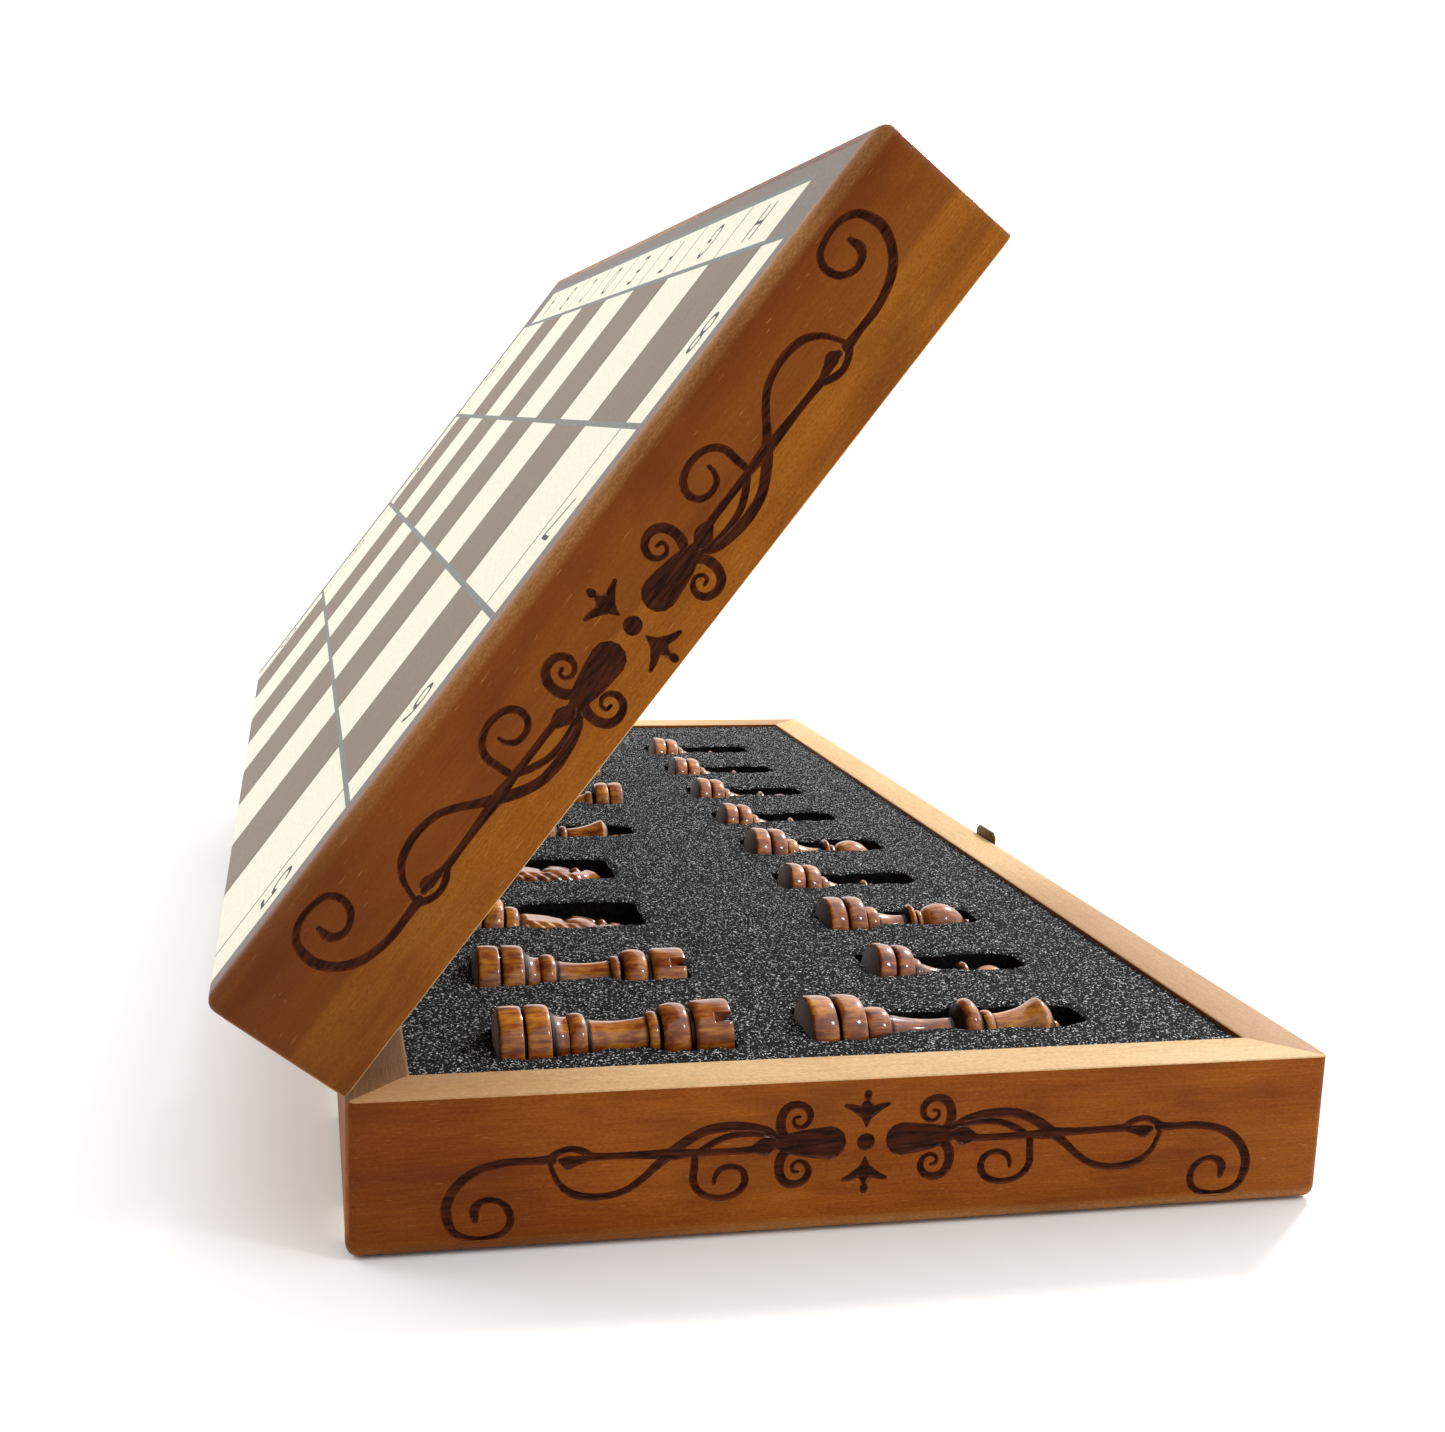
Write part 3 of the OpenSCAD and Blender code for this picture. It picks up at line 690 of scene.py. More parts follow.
def build_rail(side_name, where):
    side = SIDE[side_name]
    flip = -1 if where == "far" else 1
    end_rail = where in ("near", "far")
    run = WIDTH if end_rail else LENGTH
    levels = rail_levels(run, 0 if where == "hinge" else LIP, end_rail)
    bm = loft([[(flip * x, y, side * d) for x, y, d in level] for level in levels])
    for face in bm.faces:
        depth = side * face.calc_center_median().z / MM
        face.material_index = RIM_INK if depth < RIM + 0.6 * RIM_R else WOOD_INK
    if end_rail:
        centre, depth, stretch = SCROLL[side_name]
        carve(bm, side, filigree(centre * flip, depth, stretch))
    node = f"{side_name}_{where}_rail"
    # The hinge rim takes the dark painted shade, and the other rims the pale painted light.
    rim = SHADED_HINGE_RIM_WOOD if where == "hinge" else RIM_WOOD
    materials = [WOOD[side_name], rim, GROOVE, GROOVE_WALL]
    piece = from_bmesh(node + "_wood", bm, materials, rail_matrix(side_name, where))
    if where == "hinge":
        for end in ("near", "far"):
            cut(piece, leaf_bed(side_name, f"{end}_hinge_{side_name}_leaf"))
    return place(piece, side_name, [node], "stained_wood")


def tray_points(node, side_name):
    """Vertices and triangles of a CAD node in millimetres of its tray's frame."""
    mesh = frame["nodes"][node].data
    to_tray = TRAY[side_name].inverted() @ frame["nodes"][node].matrix_world
    points = np.array([to_tray @ v.co for v in mesh.vertices]) / MM
    mesh.calc_loop_triangles()
    return points, np.array([t.vertices[:] for t in mesh.loop_triangles])


def box_bmesh(low, high):
    bm = bmesh.new()
    bmesh.ops.create_cube(bm, size=1)
    for v in bm.verts:
        v.co = Vector([(lo + hi) / 2 + c * (hi - lo) for lo, hi, c in zip(low, high, v.co)]) * MM
    return bm


def leaf_bed(side_name, node):
    """Solid to cut from a rim so that a hinge leaf can lie in it."""
    points, _ = tray_points(node, side_name)
    low, high = points.min(0), points.max(0)
    side = SIDE[side_name]
    bottom, top = sorted((-side * RIM_CUT, side * (LEAF_DEPTH + BED_CLEAR)))
    bed_low = (WALL - 1, low[1] - BED_CLEAR, bottom)
    bed_high = (high[0] + BED_CLEAR, high[1] + BED_CLEAR, top)
    return from_bmesh(node + "_bed", box_bmesh(bed_low, bed_high), [], TRAY[side_name])


def cut(piece, cutter):
    """Takes the cutter's solid out of the piece, and deletes the cutter."""
    modifier = piece.modifiers.new("cut", "BOOLEAN")
    modifier.object = cutter
    modifier.operation = "DIFFERENCE"
    modifier.solver = "EXACT"
    bpy.context.view_layer.update()
    result = piece.evaluated_get(bpy.context.evaluated_depsgraph_get())
    cut_mesh = bpy.data.meshes.new_from_object(result)
    piece.modifiers.clear()
    piece.data = cut_mesh
    bpy.data.objects.remove(cutter)


# How far the back of a hinge leaf lies below the seam.
LEAF_POINTS = tray_points("near_hinge_base_leaf", "base")[0]
LEAF_DEPTH = abs(LEAF_POINTS[LEAF_POINTS[:, 0] > RAIL_T / 4, 2]).max()
BED_CLEAR = 0.15
RIM_CUT = 2


# ---------- printed playing panels ----------

SQUARE = 41.5
STRIP = 15
BOARD = 4 * SQUARE
RANK_LINE = 1.4
FILE_LINE = 0.75
GLYPH_TALL = 8.4
GLYPH_PEN = 0.52
# The panel's sides take the rims' pale wood, with its painted light.
INKS = [CREAM, WALNUT, MARGIN, LINE_GREY, LINE_BLACK, RIM_WOOD]
CREAM_INK, WALNUT_INK, MARGIN_INK, GREY_INK, BLACK_INK, SIDE_INK = range(6)


def path(*points):
    """Straight strokes from point to point."""
    return [[a, b] for a, b in zip(points, points[1:])]


# Letters and numbers as strokes in a box one unit tall, centred on the origin.
GLYPHS = {
    "A": path((-0.36, -0.5), (0, 0.5), (0.36, -0.5)) + path((-0.24, -0.16), (0.24, -0.16)),
    "B": path((0.06, 0.5), (-0.28, 0.5), (-0.28, -0.5), (0.06, -0.5))
    + path((-0.28, 0.02), (0.06, 0.02))
    + [arc(0.06, 0.26, 0.22, 0.24, 90, -90), arc(0.06, -0.24, 0.26, 0.26, 90, -90)],
    "C": [arc(0, 0, 0.38, 0.5, 48, 312, 16)],
    "D": path((-0.02, 0.5), (-0.32, 0.5), (-0.32, -0.5), (-0.02, -0.5))
    + [arc(-0.02, 0, 0.38, 0.5, 90, -90, 14)],
    "E": path((0.28, 0.5), (-0.26, 0.5), (-0.26, -0.5), (0.28, -0.5)) + path((-0.26, 0.03), (0.2, 0.03)),
    "F": path((0.28, 0.5), (-0.24, 0.5), (-0.24, -0.5)) + path((-0.24, 0.03), (0.2, 0.03)),
    "G": [arc(0, 0, 0.38, 0.5, 50, 335, 16)] + path((0.345, -0.22), (0.345, -0.02), (0.06, -0.02)),
    "H": path((-0.32, -0.5), (-0.32, 0.5)) + path((0.32, -0.5), (0.32, 0.5))
    + path((-0.32, 0.02), (0.32, 0.02)),
    "1": path((-0.16, 0.3), (0.06, 0.5), (0.06, -0.5)),
    "2": [arc(0, 0.23, 0.26, 0.27, 165, -38)] + path((0.205, 0.065), (-0.28, -0.5), (0.3, -0.5)),
    "3": [arc(-0.02, 0.26, 0.24, 0.24, 150, -90), arc(-0.02, -0.24, 0.28, 0.26, 90, -150)],
    "4": path((0.12, -0.5), (0.12, 0.5), (-0.32, -0.2), (0.32, -0.2)),
    "5": path((0.25, 0.5), (-0.2, 0.5), (-0.25, 0.04)) + [arc(-0.03, -0.19, 0.31, 0.31, 135, -150, 12)],
    "6": [arc(0, -0.2, 0.28, 0.3, 0, 360, 16), arc(0.3, -0.2, 0.58, 0.72, 180, 105)],
    "7": path((-0.3, 0.5), (0.3, 0.5), (-0.08, -0.5)),
    "8": [arc(0, 0.26, 0.23, 0.24, 0, 360, 14), arc(0, -0.24, 0.28, 0.26, 0, 360, 16)],
}


def board_fold(u):
    """Tray X and depth of a point u along the printed sheet, which wraps the hinge edge."""
    turn = max(EDGE_R - u, 0) / EDGE_R
    across = u if u > EDGE_R else EDGE_R * (1 - math.sin(turn))
    return WALL + across, HALF_H - EDGE_R * (1 - math.cos(turn))


def glyph_strokes(side):
    """Every number and letter of one half, as strokes on the flattened sheet."""
    drawn = []
    strip = BOARD + STRIP / 2
    marks = [(f, strip, BOARD - SQUARE * (i + 0.5)) for i, f in enumerate("ABCDEFGH")]
    for i, rank in enumerate("5678" if side > 0 else "4321"):
        marks += [(rank, SQUARE * (i + 0.5), s * strip) for s in (-1, 1)]
    for mark, u, y in marks:
        for stroke in GLYPHS[mark]:
            pen = [(u - gy * GLYPH_TALL, y + side * gx * GLYPH_TALL, GLYPH_PEN) for gx, gy in stroke]
            drawn.append(np.array(pen))
    return drawn


def ink(side, u, y):
    """Colour of the print at one place on the flattened sheet."""
    across = abs(y)
    on_strip = BOARD < across < BOARD + STRIP
    rank, near_rank = divmod(u + RANK_LINE / 2, SQUARE)
    if abs(u - BOARD - STRIP) < RANK_LINE / 2 and across < BOARD:
        return GREY_INK
    if u > BOARD + STRIP or across > BOARD + STRIP or (u > BOARD + RANK_LINE / 2 and across > BOARD):
        return MARGIN_INK
    if near_rank < RANK_LINE and rank > 0:
        return GREY_INK
    from_file = (y + BOARD + SQUARE / 2) % SQUARE - SQUARE / 2
    if across < BOARD + FILE_LINE and abs(from_file) < FILE_LINE / 2:
        return BLACK_INK
    if on_strip or u > BOARD:
        return CREAM_INK
    file = int((BOARD - y) // SQUARE)
    first = 4 if side > 0 else 3
    return WALNUT_INK if (file + first + side * int(max(u, 0) // SQUARE)) % 2 == 0 else CREAM_INK


def build_panel(side_name):
    side = SIDE[side_name]
    u_low, u_high = EDGE_R * (1 - math.pi / 2), PANEL_HIGH.x - PANEL_LOW.x
    y_high = PANEL_HIGH.y
    outline = [(u_low, -y_high), (u_high, -y_high), (u_high, y_high), (u_low, y_high)]
    bends = [EDGE_R * (1 - math.radians(a)) for a in range(0, 90, 15)]
    ranks = [SQUARE * k + s * RANK_LINE / 2 for k in range(1, 5) for s in (-1, 1)]
    ranks += [BOARD + STRIP + s * RANK_LINE / 2 for s in (-1, 1)] + [BOARD + STRIP]
    files = [-BOARD + SQUARE * k + s * FILE_LINE / 2 for k in range(9) for s in (-1, 1)]
    files += [s * (BOARD + STRIP) for s in (-1, 1)] + [-BOARD, BOARD]
    lines = [[(u, -y_high), (u, y_high)] for u in bends + ranks]
    lines += [[(u_low, y), (u_high, y)] for y in files]
    strokes = glyph_strokes(side)
    outlines = [outline] + [stroke_outline(s, 0) for s in strokes]
    xy, triangles, centres, _ = triangulate(outlines, lines)
    lettered = clearance(centres, strokes) > 0
    bm = bmesh.new()
    verts = []
    for u, y in xy:
        x, depth = board_fold(u)
        verts.append(bm.verts.new((x * MM, y * MM, side * depth * MM)))
    for t, centre, black in zip(triangles, centres, lettered):
        face = bm.faces.new([verts[k] for k in t])
        face.material_index = BLACK_INK if black else ink(side, *centre)
    border = [e for e in bm.edges if len(e.link_faces) == 1]
    sides = bmesh.ops.extrude_edge_only(bm, edges=border)["geom"]
    for item in sides:
        if isinstance(item, bmesh.types.BMVert):
            item.co.z = side * SEAT * MM
        elif isinstance(item, bmesh.types.BMFace):
            item.material_index = SIDE_INK
    rim = [e for e in bm.edges if len(e.link_faces) == 1]
    for face in bmesh.ops.edgeloop_fill(bm, edges=rim)["faces"]:
        face.material_index = SIDE_INK
    node = f"{side_name}_panel"
    piece = from_bmesh(node + "_print", bm, INKS, TRAY[side_name])
    return place(piece, side_name, [node], "board_panel")


# ---------- foam ----------

FOAM_STEP = 1.3
FOAM_ROUGH = 0.22
MOUTH_DIP = 0.5
POCKET_ROUND = 1.2
WALL_ROWS = 3
# Stands for the insert's top in place of a pocket's number.
TOP = -1


def outline_loops(triangles):
    """Closed loops of vertex numbers around a set of triangles."""
    count = {}
    for a, b, c in triangles:
        for edge in ((a, b), (b, c), (c, a)):
            count[edge] = count.get(edge, 0) + 1
    following = {a: b for a, b in count if (b, a) not in count}
    loops = []
    while following:
        start, here = following.popitem()
        loop = [start]
        while here != start:
            loop.append(here)
            here = following.pop(here)
        loops.append(loop)
    return loops


def welded(points, triangles):
    """The same triangles over points that no longer repeat."""
    _, first, same = np.unique(points.round(3), axis=0, return_index=True, return_inverse=True)
    return points[first], same.reshape(-1)[triangles]


def flat_layers(points, triangles):
    """Triangles lying flat in the tray, gathered by their depth."""
    corners = points[triangles]
    level = np.ptp(corners[:, :, 2], axis=1) < 0.01
    layers = {}
    for t, z in zip(triangles[level], corners[level][:, 0, 2]):
        layers.setdefault(round(float(z), 2), []).append(tuple(int(k) for k in t))
    return layers


def rounded_loop(points, radius, step, rng, rough):
    """Loop with its corners rounded, resampled at even steps and slightly torn."""
    p = np.array(points)
    out = []
    for a, b, c in zip(np.roll(p, 1, 0), p, np.roll(p, -1, 0)):
        to_a, to_c = a - b, c - b
        reach = min(radius, np.linalg.norm(to_a) / 2.2, np.linalg.norm(to_c) / 2.2)
        start = b + to_a / np.linalg.norm(to_a) * reach
        end = b + to_c / np.linalg.norm(to_c) * reach
        for t in (0, 0.33, 0.67, 1):
            out.append((1 - t) ** 2 * start + 2 * t * (1 - t) * b + t * t * end)
    p = np.vstack([out, out[:1]])
    along = np.concatenate([[0], np.cumsum(np.linalg.norm(np.diff(p, axis=0), axis=1))])
    marks = np.linspace(0, along[-1], max(int(along[-1] / step), 8), endpoint=False)
    even = np.stack([np.interp(marks, along, p[:, k]) for k in (0, 1)], 1)
    return even + rng.normal(0, rough, even.shape)


def inside_loop(points, loop):
    """Whether each point lies inside a closed loop."""
    x, y = points[:, 0:1], points[:, 1:2]
    a, b = loop, np.roll(loop, -1, 0)
    spans = (a[:, 1] > y) != (b[:, 1] > y)
    rise = np.where(b[:, 1] == a[:, 1], 1, b[:, 1] - a[:, 1])
    crossing = a[:, 0] + (y - a[:, 1]) * (b[:, 0] - a[:, 0]) / rise
    return (spans & (x < crossing)).sum(1) % 2 == 1


def near_loops(points, loops, reach):
    """Whether each point lies within reach of any loop's points."""
    near = np.zeros(len(points), bool)
    for loop in loops:
        low, high = loop.min(0) - reach, loop.max(0) + reach
        close = np.where(((points > low) & (points < high)).all(1))[0]
        away = np.linalg.norm(points[close][:, None] - loop[None], axis=2).min(1)
        near[close[away < reach]] = True
    return near


class Foam:
    """Insert of one half: a torn top, sunken pocket floors and cut walls."""

    def __init__(self, side_name, seed):
        self.side_name = side_name
        self.side = SIDE[side_name]
        self.rng = np.random.default_rng(seed)
        self.bm = bmesh.new()
        self.verts = {}
        self.read_cad()
        self.mesh_plan()

    def read_cad(self):
        """Edge, pocket mouths and floor depths of the CAD insert."""
        points, triangles = welded(*tray_points(f"{self.side_name}_foam", self.side_name))
        layers = flat_layers(points, triangles)
        self.top_z = min(layers, key=abs)
        self.back_z = max(layers, key=abs)
        loops = outline_loops(layers[self.top_z])
        loops.sort(key=lambda loop: -np.prod(np.ptp(points[loop][:, :2], axis=0)))
        flat = [points[loop][:, :2] for loop in loops]
        self.edge = rounded_loop(flat[0], 0.3, FOAM_STEP, self.rng, 0)
        self.mouths = [rounded_loop(p, POCKET_ROUND, FOAM_STEP, self.rng, 0.07) for p in flat[1:]]
        self.floors = []
        for loop in loops[1:]:
            here = points[loop[0]]
            under = points[np.abs(points[:, :2] - here[:2]).max(1) < 0.01][:, 2]
            self.floors.append(float(under[np.argmax(np.abs(under))]))

    def mesh_plan(self):
        """Triangles over the whole insert that keep every pocket's mouth."""
        low, high = self.edge.min(0), self.edge.max(0)
        grid = jittered_grid(low, high, FOAM_STEP, 0.42 * FOAM_STEP, self.rng)
        grid = grid[((grid > low + 0.8) & (grid < high - 0.8)).all(1)]
        grid = grid[~near_loops(grid, self.mouths, 0.75)]
        made = triangulate([self.edge] + self.mouths, points=grid)
        self.xy, self.faces, centres, self.sources = made
        self.place_of = {source: i for i, found in enumerate(self.sources) for source in found}
        self.pocket = np.full(len(self.faces), TOP)
        for k, mouth in enumerate(self.mouths):
            box = ((centres > mouth.min(0)) & (centres < mouth.max(0))).all(1)
            found = np.where(box)[0]
            self.pocket[found[inside_loop(centres[found], mouth)]] = k

    def vert(self, i, k=TOP):
        """Vertex over point i of the plan, on the top or on the floor of pocket k."""
        if (i, k) not in self.verts:
            if k == TOP:
                last = len(self.edge) + sum(len(m) for m in self.mouths)
                at_mouth = any(len(self.edge) <= source < last for source in self.sources[i])
                sink = self.rng.uniform(-0.3, 1) * FOAM_ROUGH + (MOUTH_DIP if at_mouth else 0)
                z = self.top_z + self.side * sink
            else:
                z = self.floors[k] + self.side * self.rng.uniform(-1, 0.3) * FOAM_ROUGH
            self.verts[i, k] = self.bm.verts.new((*(self.xy[i] * MM), z * MM))
        return self.verts[i, k]

    def add_wall(self, k, points):
        """Uneven cut wall from one pocket's mouth down to its floor."""
        rows = [[self.vert(i) for i in points]]
        for row in range(1, WALL_ROWS):
            z = self.top_z + (self.floors[k] - self.top_z) * row / WALL_ROWS
            jog = self.rng.normal(0, 0.1, (len(points), 3))
            spots = [Vector((*self.xy[i], z)) + Vector(j) for i, j in zip(points, jog)]
            rows.append([self.bm.verts.new(spot * MM) for spot in spots])
        rows.append([self.vert(i, k) for i in points])
        bridge(self.bm, rows, 1)

    def build(self):
        for f, k in zip(self.faces, self.pocket):
            face = self.bm.faces.new([self.vert(i, k) for i in f])
            face.material_index = 0 if k == TOP else 1
        start = len(self.edge)
        for k, mouth in enumerate(self.mouths):
            self.add_wall(k, [self.place_of[start + i] for i in range(len(mouth))])
            start += len(mouth)
        rim = [self.vert(self.place_of[i]) for i in range(len(self.edge))]
        back = [self.bm.verts.new((v.co.x, v.co.y, self.back_z * MM)) for v in rim]
        bridge(self.bm, [rim, back], 1)
        self.bm.faces.new(back).material_index = 1
        node = f"{self.side_name}_foam"
        inks = [FOAM_TOP, SHADED_FOAM_CUT]
        piece = from_bmesh(node + "_cells", self.bm, inks, TRAY[self.side_name])
        piece.data.shade_flat()
        return place(piece, self.side_name, [node], "foam")


# ---------- chess pieces ----------

SEGMENTS = 72


def ring(z0, z1, r_in, r_out, fullness=1.0, steps=14, skew=1.0):
    """Profile of a bead. A low fullness power squares it, and skew moves its swell to the foot."""
    turns = [math.pi * i / steps for i in range(steps + 1)]
    radii = [r_in + (r_out - r_in) * max(math.sin(a), 0) ** fullness for a in turns]
    heights = [z0 + (z1 - z0) * ((1 - math.cos(a)) / 2) ** skew for a in turns]
    return list(zip(radii, heights))


def waist(z0, z1, r0, r1, sag, steps=12):
    """Profile of a slope that dips by sag between two radii."""
    shares = [i / steps for i in range(steps + 1)]
    return [(r0 + (r1 - r0) * t - sag * math.sin(math.pi * t), z0 + (z1 - z0) * t) for t in shares]


def foot(r, h, fullness, skew=1.0):
    """Flat sole and two stacked rings with a narrow groove between them."""
    lower = ring(0.05, 0.46 * h, r - 0.9, r, fullness, skew=skew)
    groove = [(r - 1.9, 0.47 * h), (r - 1.9, 0.51 * h)]
    upper = ring(0.52 * h, h, r - 1.5, r, fullness, skew=skew)
    return [(0, 0), (r - 0.9, 0)] + lower + groove + upper


def ogive(points, steps=6):
    return [tuple(p) for p in smooth_line(points, steps)]


ROYAL_DISC = [(3.9, 31.9), (6.2, 33.4), (6.7, 34.6), (6.2, 35.8), (4.4, 37.2), (3.4, 37.6)]
ROYAL_BODY = foot(8.5, 11.4, 0.55, 1.5) + ring(11.8, 17.4, 4.3, 5.7, 0.7)
ROYAL_BODY += waist(17.6, 31.6, 4, 2.8, 0.6) + ogive(ROYAL_DISC, 4)
ROOK_HEAD = [(6.4, 38.5), (7.1, 39.2), (7.25, 41.4), (7.3, 44.6), (7.15, 45.7), (6.8, 46)]
BISHOP_HEAD = [(3.6, 25.1), (4.9, 26.6), (5.6, 28.8), (5.5, 31), (4.7, 33.2), (3.2, 35.2), (1.5, 36.5)]
QUEEN_HEAD = [
    (3.2, 40.5), (3.5, 43), (4.3, 46.4), (5.6, 49), (6.2, 50.2), (5.9, 51), (4.6, 52.4), (2.6, 53.3),
    (0.9, 53.5),
]
KING_HEAD = [
    (3.5, 40.5), (3.8, 43.5), (4.6, 47), (5.8, 50), (5.7, 50.8), (4.6, 51.9), (2.8, 52.6), (1.5, 52.9),
    (0, 53),
]
PROFILES = {
    "rook": foot(8.2, 10, 0.25, 1.15) + waist(10.2, 13.6, 7, 5.4, 0.5)
    + ring(13.8, 17.2, 5, 6.1, 0.7) + waist(17.6, 29.4, 4.6, 4.5, 0.5)
    + ring(29.5, 31.8, 4.6, 5.6, 0.7) + ring(32.1, 37.6, 5.3, 7, 0.6)
    + [(5.7, 37.8), (5.7, 38.4)] + ogive(ROOK_HEAD, 4)
    + [(5.3, 46), (5, 45.8), (4.7, 44.8), (0, 44.8)],
    "knight": foot(8.2, 10, 0.45, 1.3) + ring(10.3, 14, 5.3, 6.3, 0.7) + [(5, 14.3), (0, 14.4)],
    "bishop": foot(8, 9.4, 0.55, 1.5) + ring(9.7, 13.4, 4.3, 5.3, 0.8)
    + waist(13.7, 21, 3.9, 3, 0.4) + ring(21.1, 23, 3.3, 5.6, 0.8) + ring(23.3, 25, 3.1, 4.1, 0.8)
    + ogive(BISHOP_HEAD) + ogive([(1.2, 36.7), (1.5, 37.2), (1.2, 37.8), (0, 38.1)], 4),
    "queen": ROYAL_BODY + ring(38, 40.2, 3.1, 4.1, 0.8) + ogive(QUEEN_HEAD)
    + arc(0, 54.2, 1.3, 1.3, -45, 90),
    "king": ROYAL_BODY + ring(38, 40.2, 3.3, 4.3, 0.8) + ogive(KING_HEAD),
    "pawn": foot(7.2, 8.6, 0.55, 1.5) + ring(8.9, 11.4, 3.7, 4.5, 0.8)
    + waist(11.7, 20.4, 3.6, 2.6, 0.4)
    + ogive([(2.9, 20.5), (4.5, 21.5), (4.7, 22), (4.4, 22.5), (2.8, 23.6)], 4)
    + ring(23.8, 24.9, 2.5, 3, 0.8, 6) + arc(0, 29, 4.5, 4.5, -58, 90, 22),
}


def creases(profile):
    """How deeply each profile point lies between its neighbours' swells, which sets the painted shade
    there.
    """
    deep = []
    for r, z in profile:
        around = max(q for q, y in profile if abs(y - z) < 0.9)
        deep.append(min(max(around - r - 0.35, 0) / 1.2, 1) if z > 0.5 else 0)
    return deep


def circle(bm, r, z):
    """Vertices around local Z, or a single one on the axis."""
    turns = [2 * math.pi * i / SEGMENTS for i in range(SEGMENTS if r > 0.01 else 1)]
    return [bm.verts.new((r * math.cos(a) * MM, r * math.sin(a) * MM, z * MM)) for a in turns]


def lathe(profile):
    """Turned solid around local Z, with its creases stored on the vertices for the painted shade."""
    bm = bmesh.new()
    crease = bm.verts.layers.float.new("crease")
    rows = []
    for (r, z), deep in zip(profile, creases(profile)):
        rows.append(circle(bm, r, z))
        for v in rows[-1]:
            v[crease] = deep
    bridge(bm, rows)
    return bm


# Side view of the horse's head and neck: chest, muzzle, brow, ear, then down the mane.
HORSE = [
    (-5.4, 0.2), (0, 0.2), (5.2, 0.2), (6.1, 4), (5.6, 8.4), (3.6, 12.2), (4.6, 12.9), (6.4, 12.4),
    (8.6, 13.2), (9.6, 15.2), (9, 17.6), (6.8, 19.6), (5, 21.2), (4, 24.2), (3.4, 26.4), (2.6, 29),
    (1, 27.4), (-1, 26.2), (-3.6, 25), (-6.2, 21.6), (-7.6, 17), (-8, 12.6), (-7.6, 7), (-6.4, 2.8),
]
HEAD_Z = 14
HEAD_HALF = 4
HEAD_STEP = 0.42


def horse_round(inset):
    """Half thickness of the plain head, rounded off towards its outline."""
    return HEAD_HALF * math.sqrt(max(1 - (1 - min(inset / 2.6, 1)) ** 2, 0))


def horse_relief(y, z, inset):
    """Half thickness of the carved head at a point that lies inset from its outline."""
    half = horse_round(inset) * (1 - 0.22 * min(max((y - 4) / 5, 0), 1))
    mane = min(max((-2.6 - y - (z - 14) * 0.09) / 1.2, 0), 1)
    half -= mane * (0.35 + 0.25 * math.sin(z * 1.9 + y * 0.9))
    eye = math.hypot(y - 2.2, z - 21.4)
    half += 0.55 * math.exp(-(eye / 0.75) ** 2) - 0.6 * math.exp(-((eye - 1.7) / 0.5) ** 2)
    cheek = math.hypot(y - 0.6, z - 16)
    half += 0.5 * math.exp(-(cheek / 2.8) ** 4)
    if y > -2:
        half -= 0.5 * math.exp(-((cheek - 4) / 0.5) ** 2)
    mouth = abs(z - 13.9 - (9 - y) * 0.1)
    half -= 0.8 * math.exp(-(mouth / 0.35) ** 2) * min(max((y - 5.4) / 0.8, 0), 1)
    nostril = math.hypot(y - 8.2, z - 16)
    half -= 0.8 * math.exp(-(nostril / 0.45) ** 2)
    return max(half, 0) if inset > 0.02 else 0


def horse_head(bm):
    """Carved head in the local YZ plane, alike on both faces."""
    closed = smooth_line(HORSE + HORSE[:1], 5)[:-1]
    rng = np.random.default_rng(5)
    grid = jittered_grid(closed.min(0), closed.max(0), HEAD_STEP, 0.08, rng)
    grid = grid[inside_loop(grid, closed)]
    grid = grid[~near_loops(grid, [closed], 0.22)]
    xy, faces, centres, _ = triangulate([closed], points=grid)
    keep = inside_loop(centres, closed)
    ring_of = np.vstack([closed, closed[:1]])
    border = np.column_stack([ring_of, np.zeros(len(ring_of))])
    inset = -clearance(xy, [border])
    crease = bm.verts.layers.float["crease"]
    for way in (-1, 1):
        verts = {}
        for f in np.array(faces)[keep]:
            for k in f:
                if k not in verts:
                    y, z = xy[k]
                    half = horse_relief(y, z, inset[k])
                    carved = horse_round(inset[k]) - half
                    verts[k] = bm.verts.new((way * half * MM, y * MM, (HEAD_Z + z) * MM))
                    # Painted shade: the head's carved hollows get crease values from their depth.
                    verts[k][crease] = min(max(carved - 0.35, 0) * 1.4, 1)
            bm.faces.new([verts[k] for k in (f if way > 0 else f[::-1])])
    bmesh.ops.remove_doubles(bm, verts=bm.verts, dist=TINY)


CROSS_Z = 55.4
CROSS_TALL = 2.7
CROSS_WIDE = 2.4


def king_cross(bm):
    """Flared cross standing on the crown, in the local YZ plane."""
    corners = []
    for turn in range(4):
        a = math.radians(90 * turn)
        reach = CROSS_TALL if turn % 2 else CROSS_WIDE
        for w, d in ((0.55, 0.6), (0.95, reach), (-0.95, reach), (-0.55, 0.6)):
            corners.append((d * math.cos(a) + w * math.sin(a), d * math.sin(a) - w * math.cos(a)))
    levels = []
    for x, grow in ((-0.95, 0.86), (-0.7, 1), (0.7, 1), (0.95, 0.86)):
        levels.append([(x, y * grow, CROSS_Z + z * grow) for y, z in corners])
    join(bm, loft(levels))


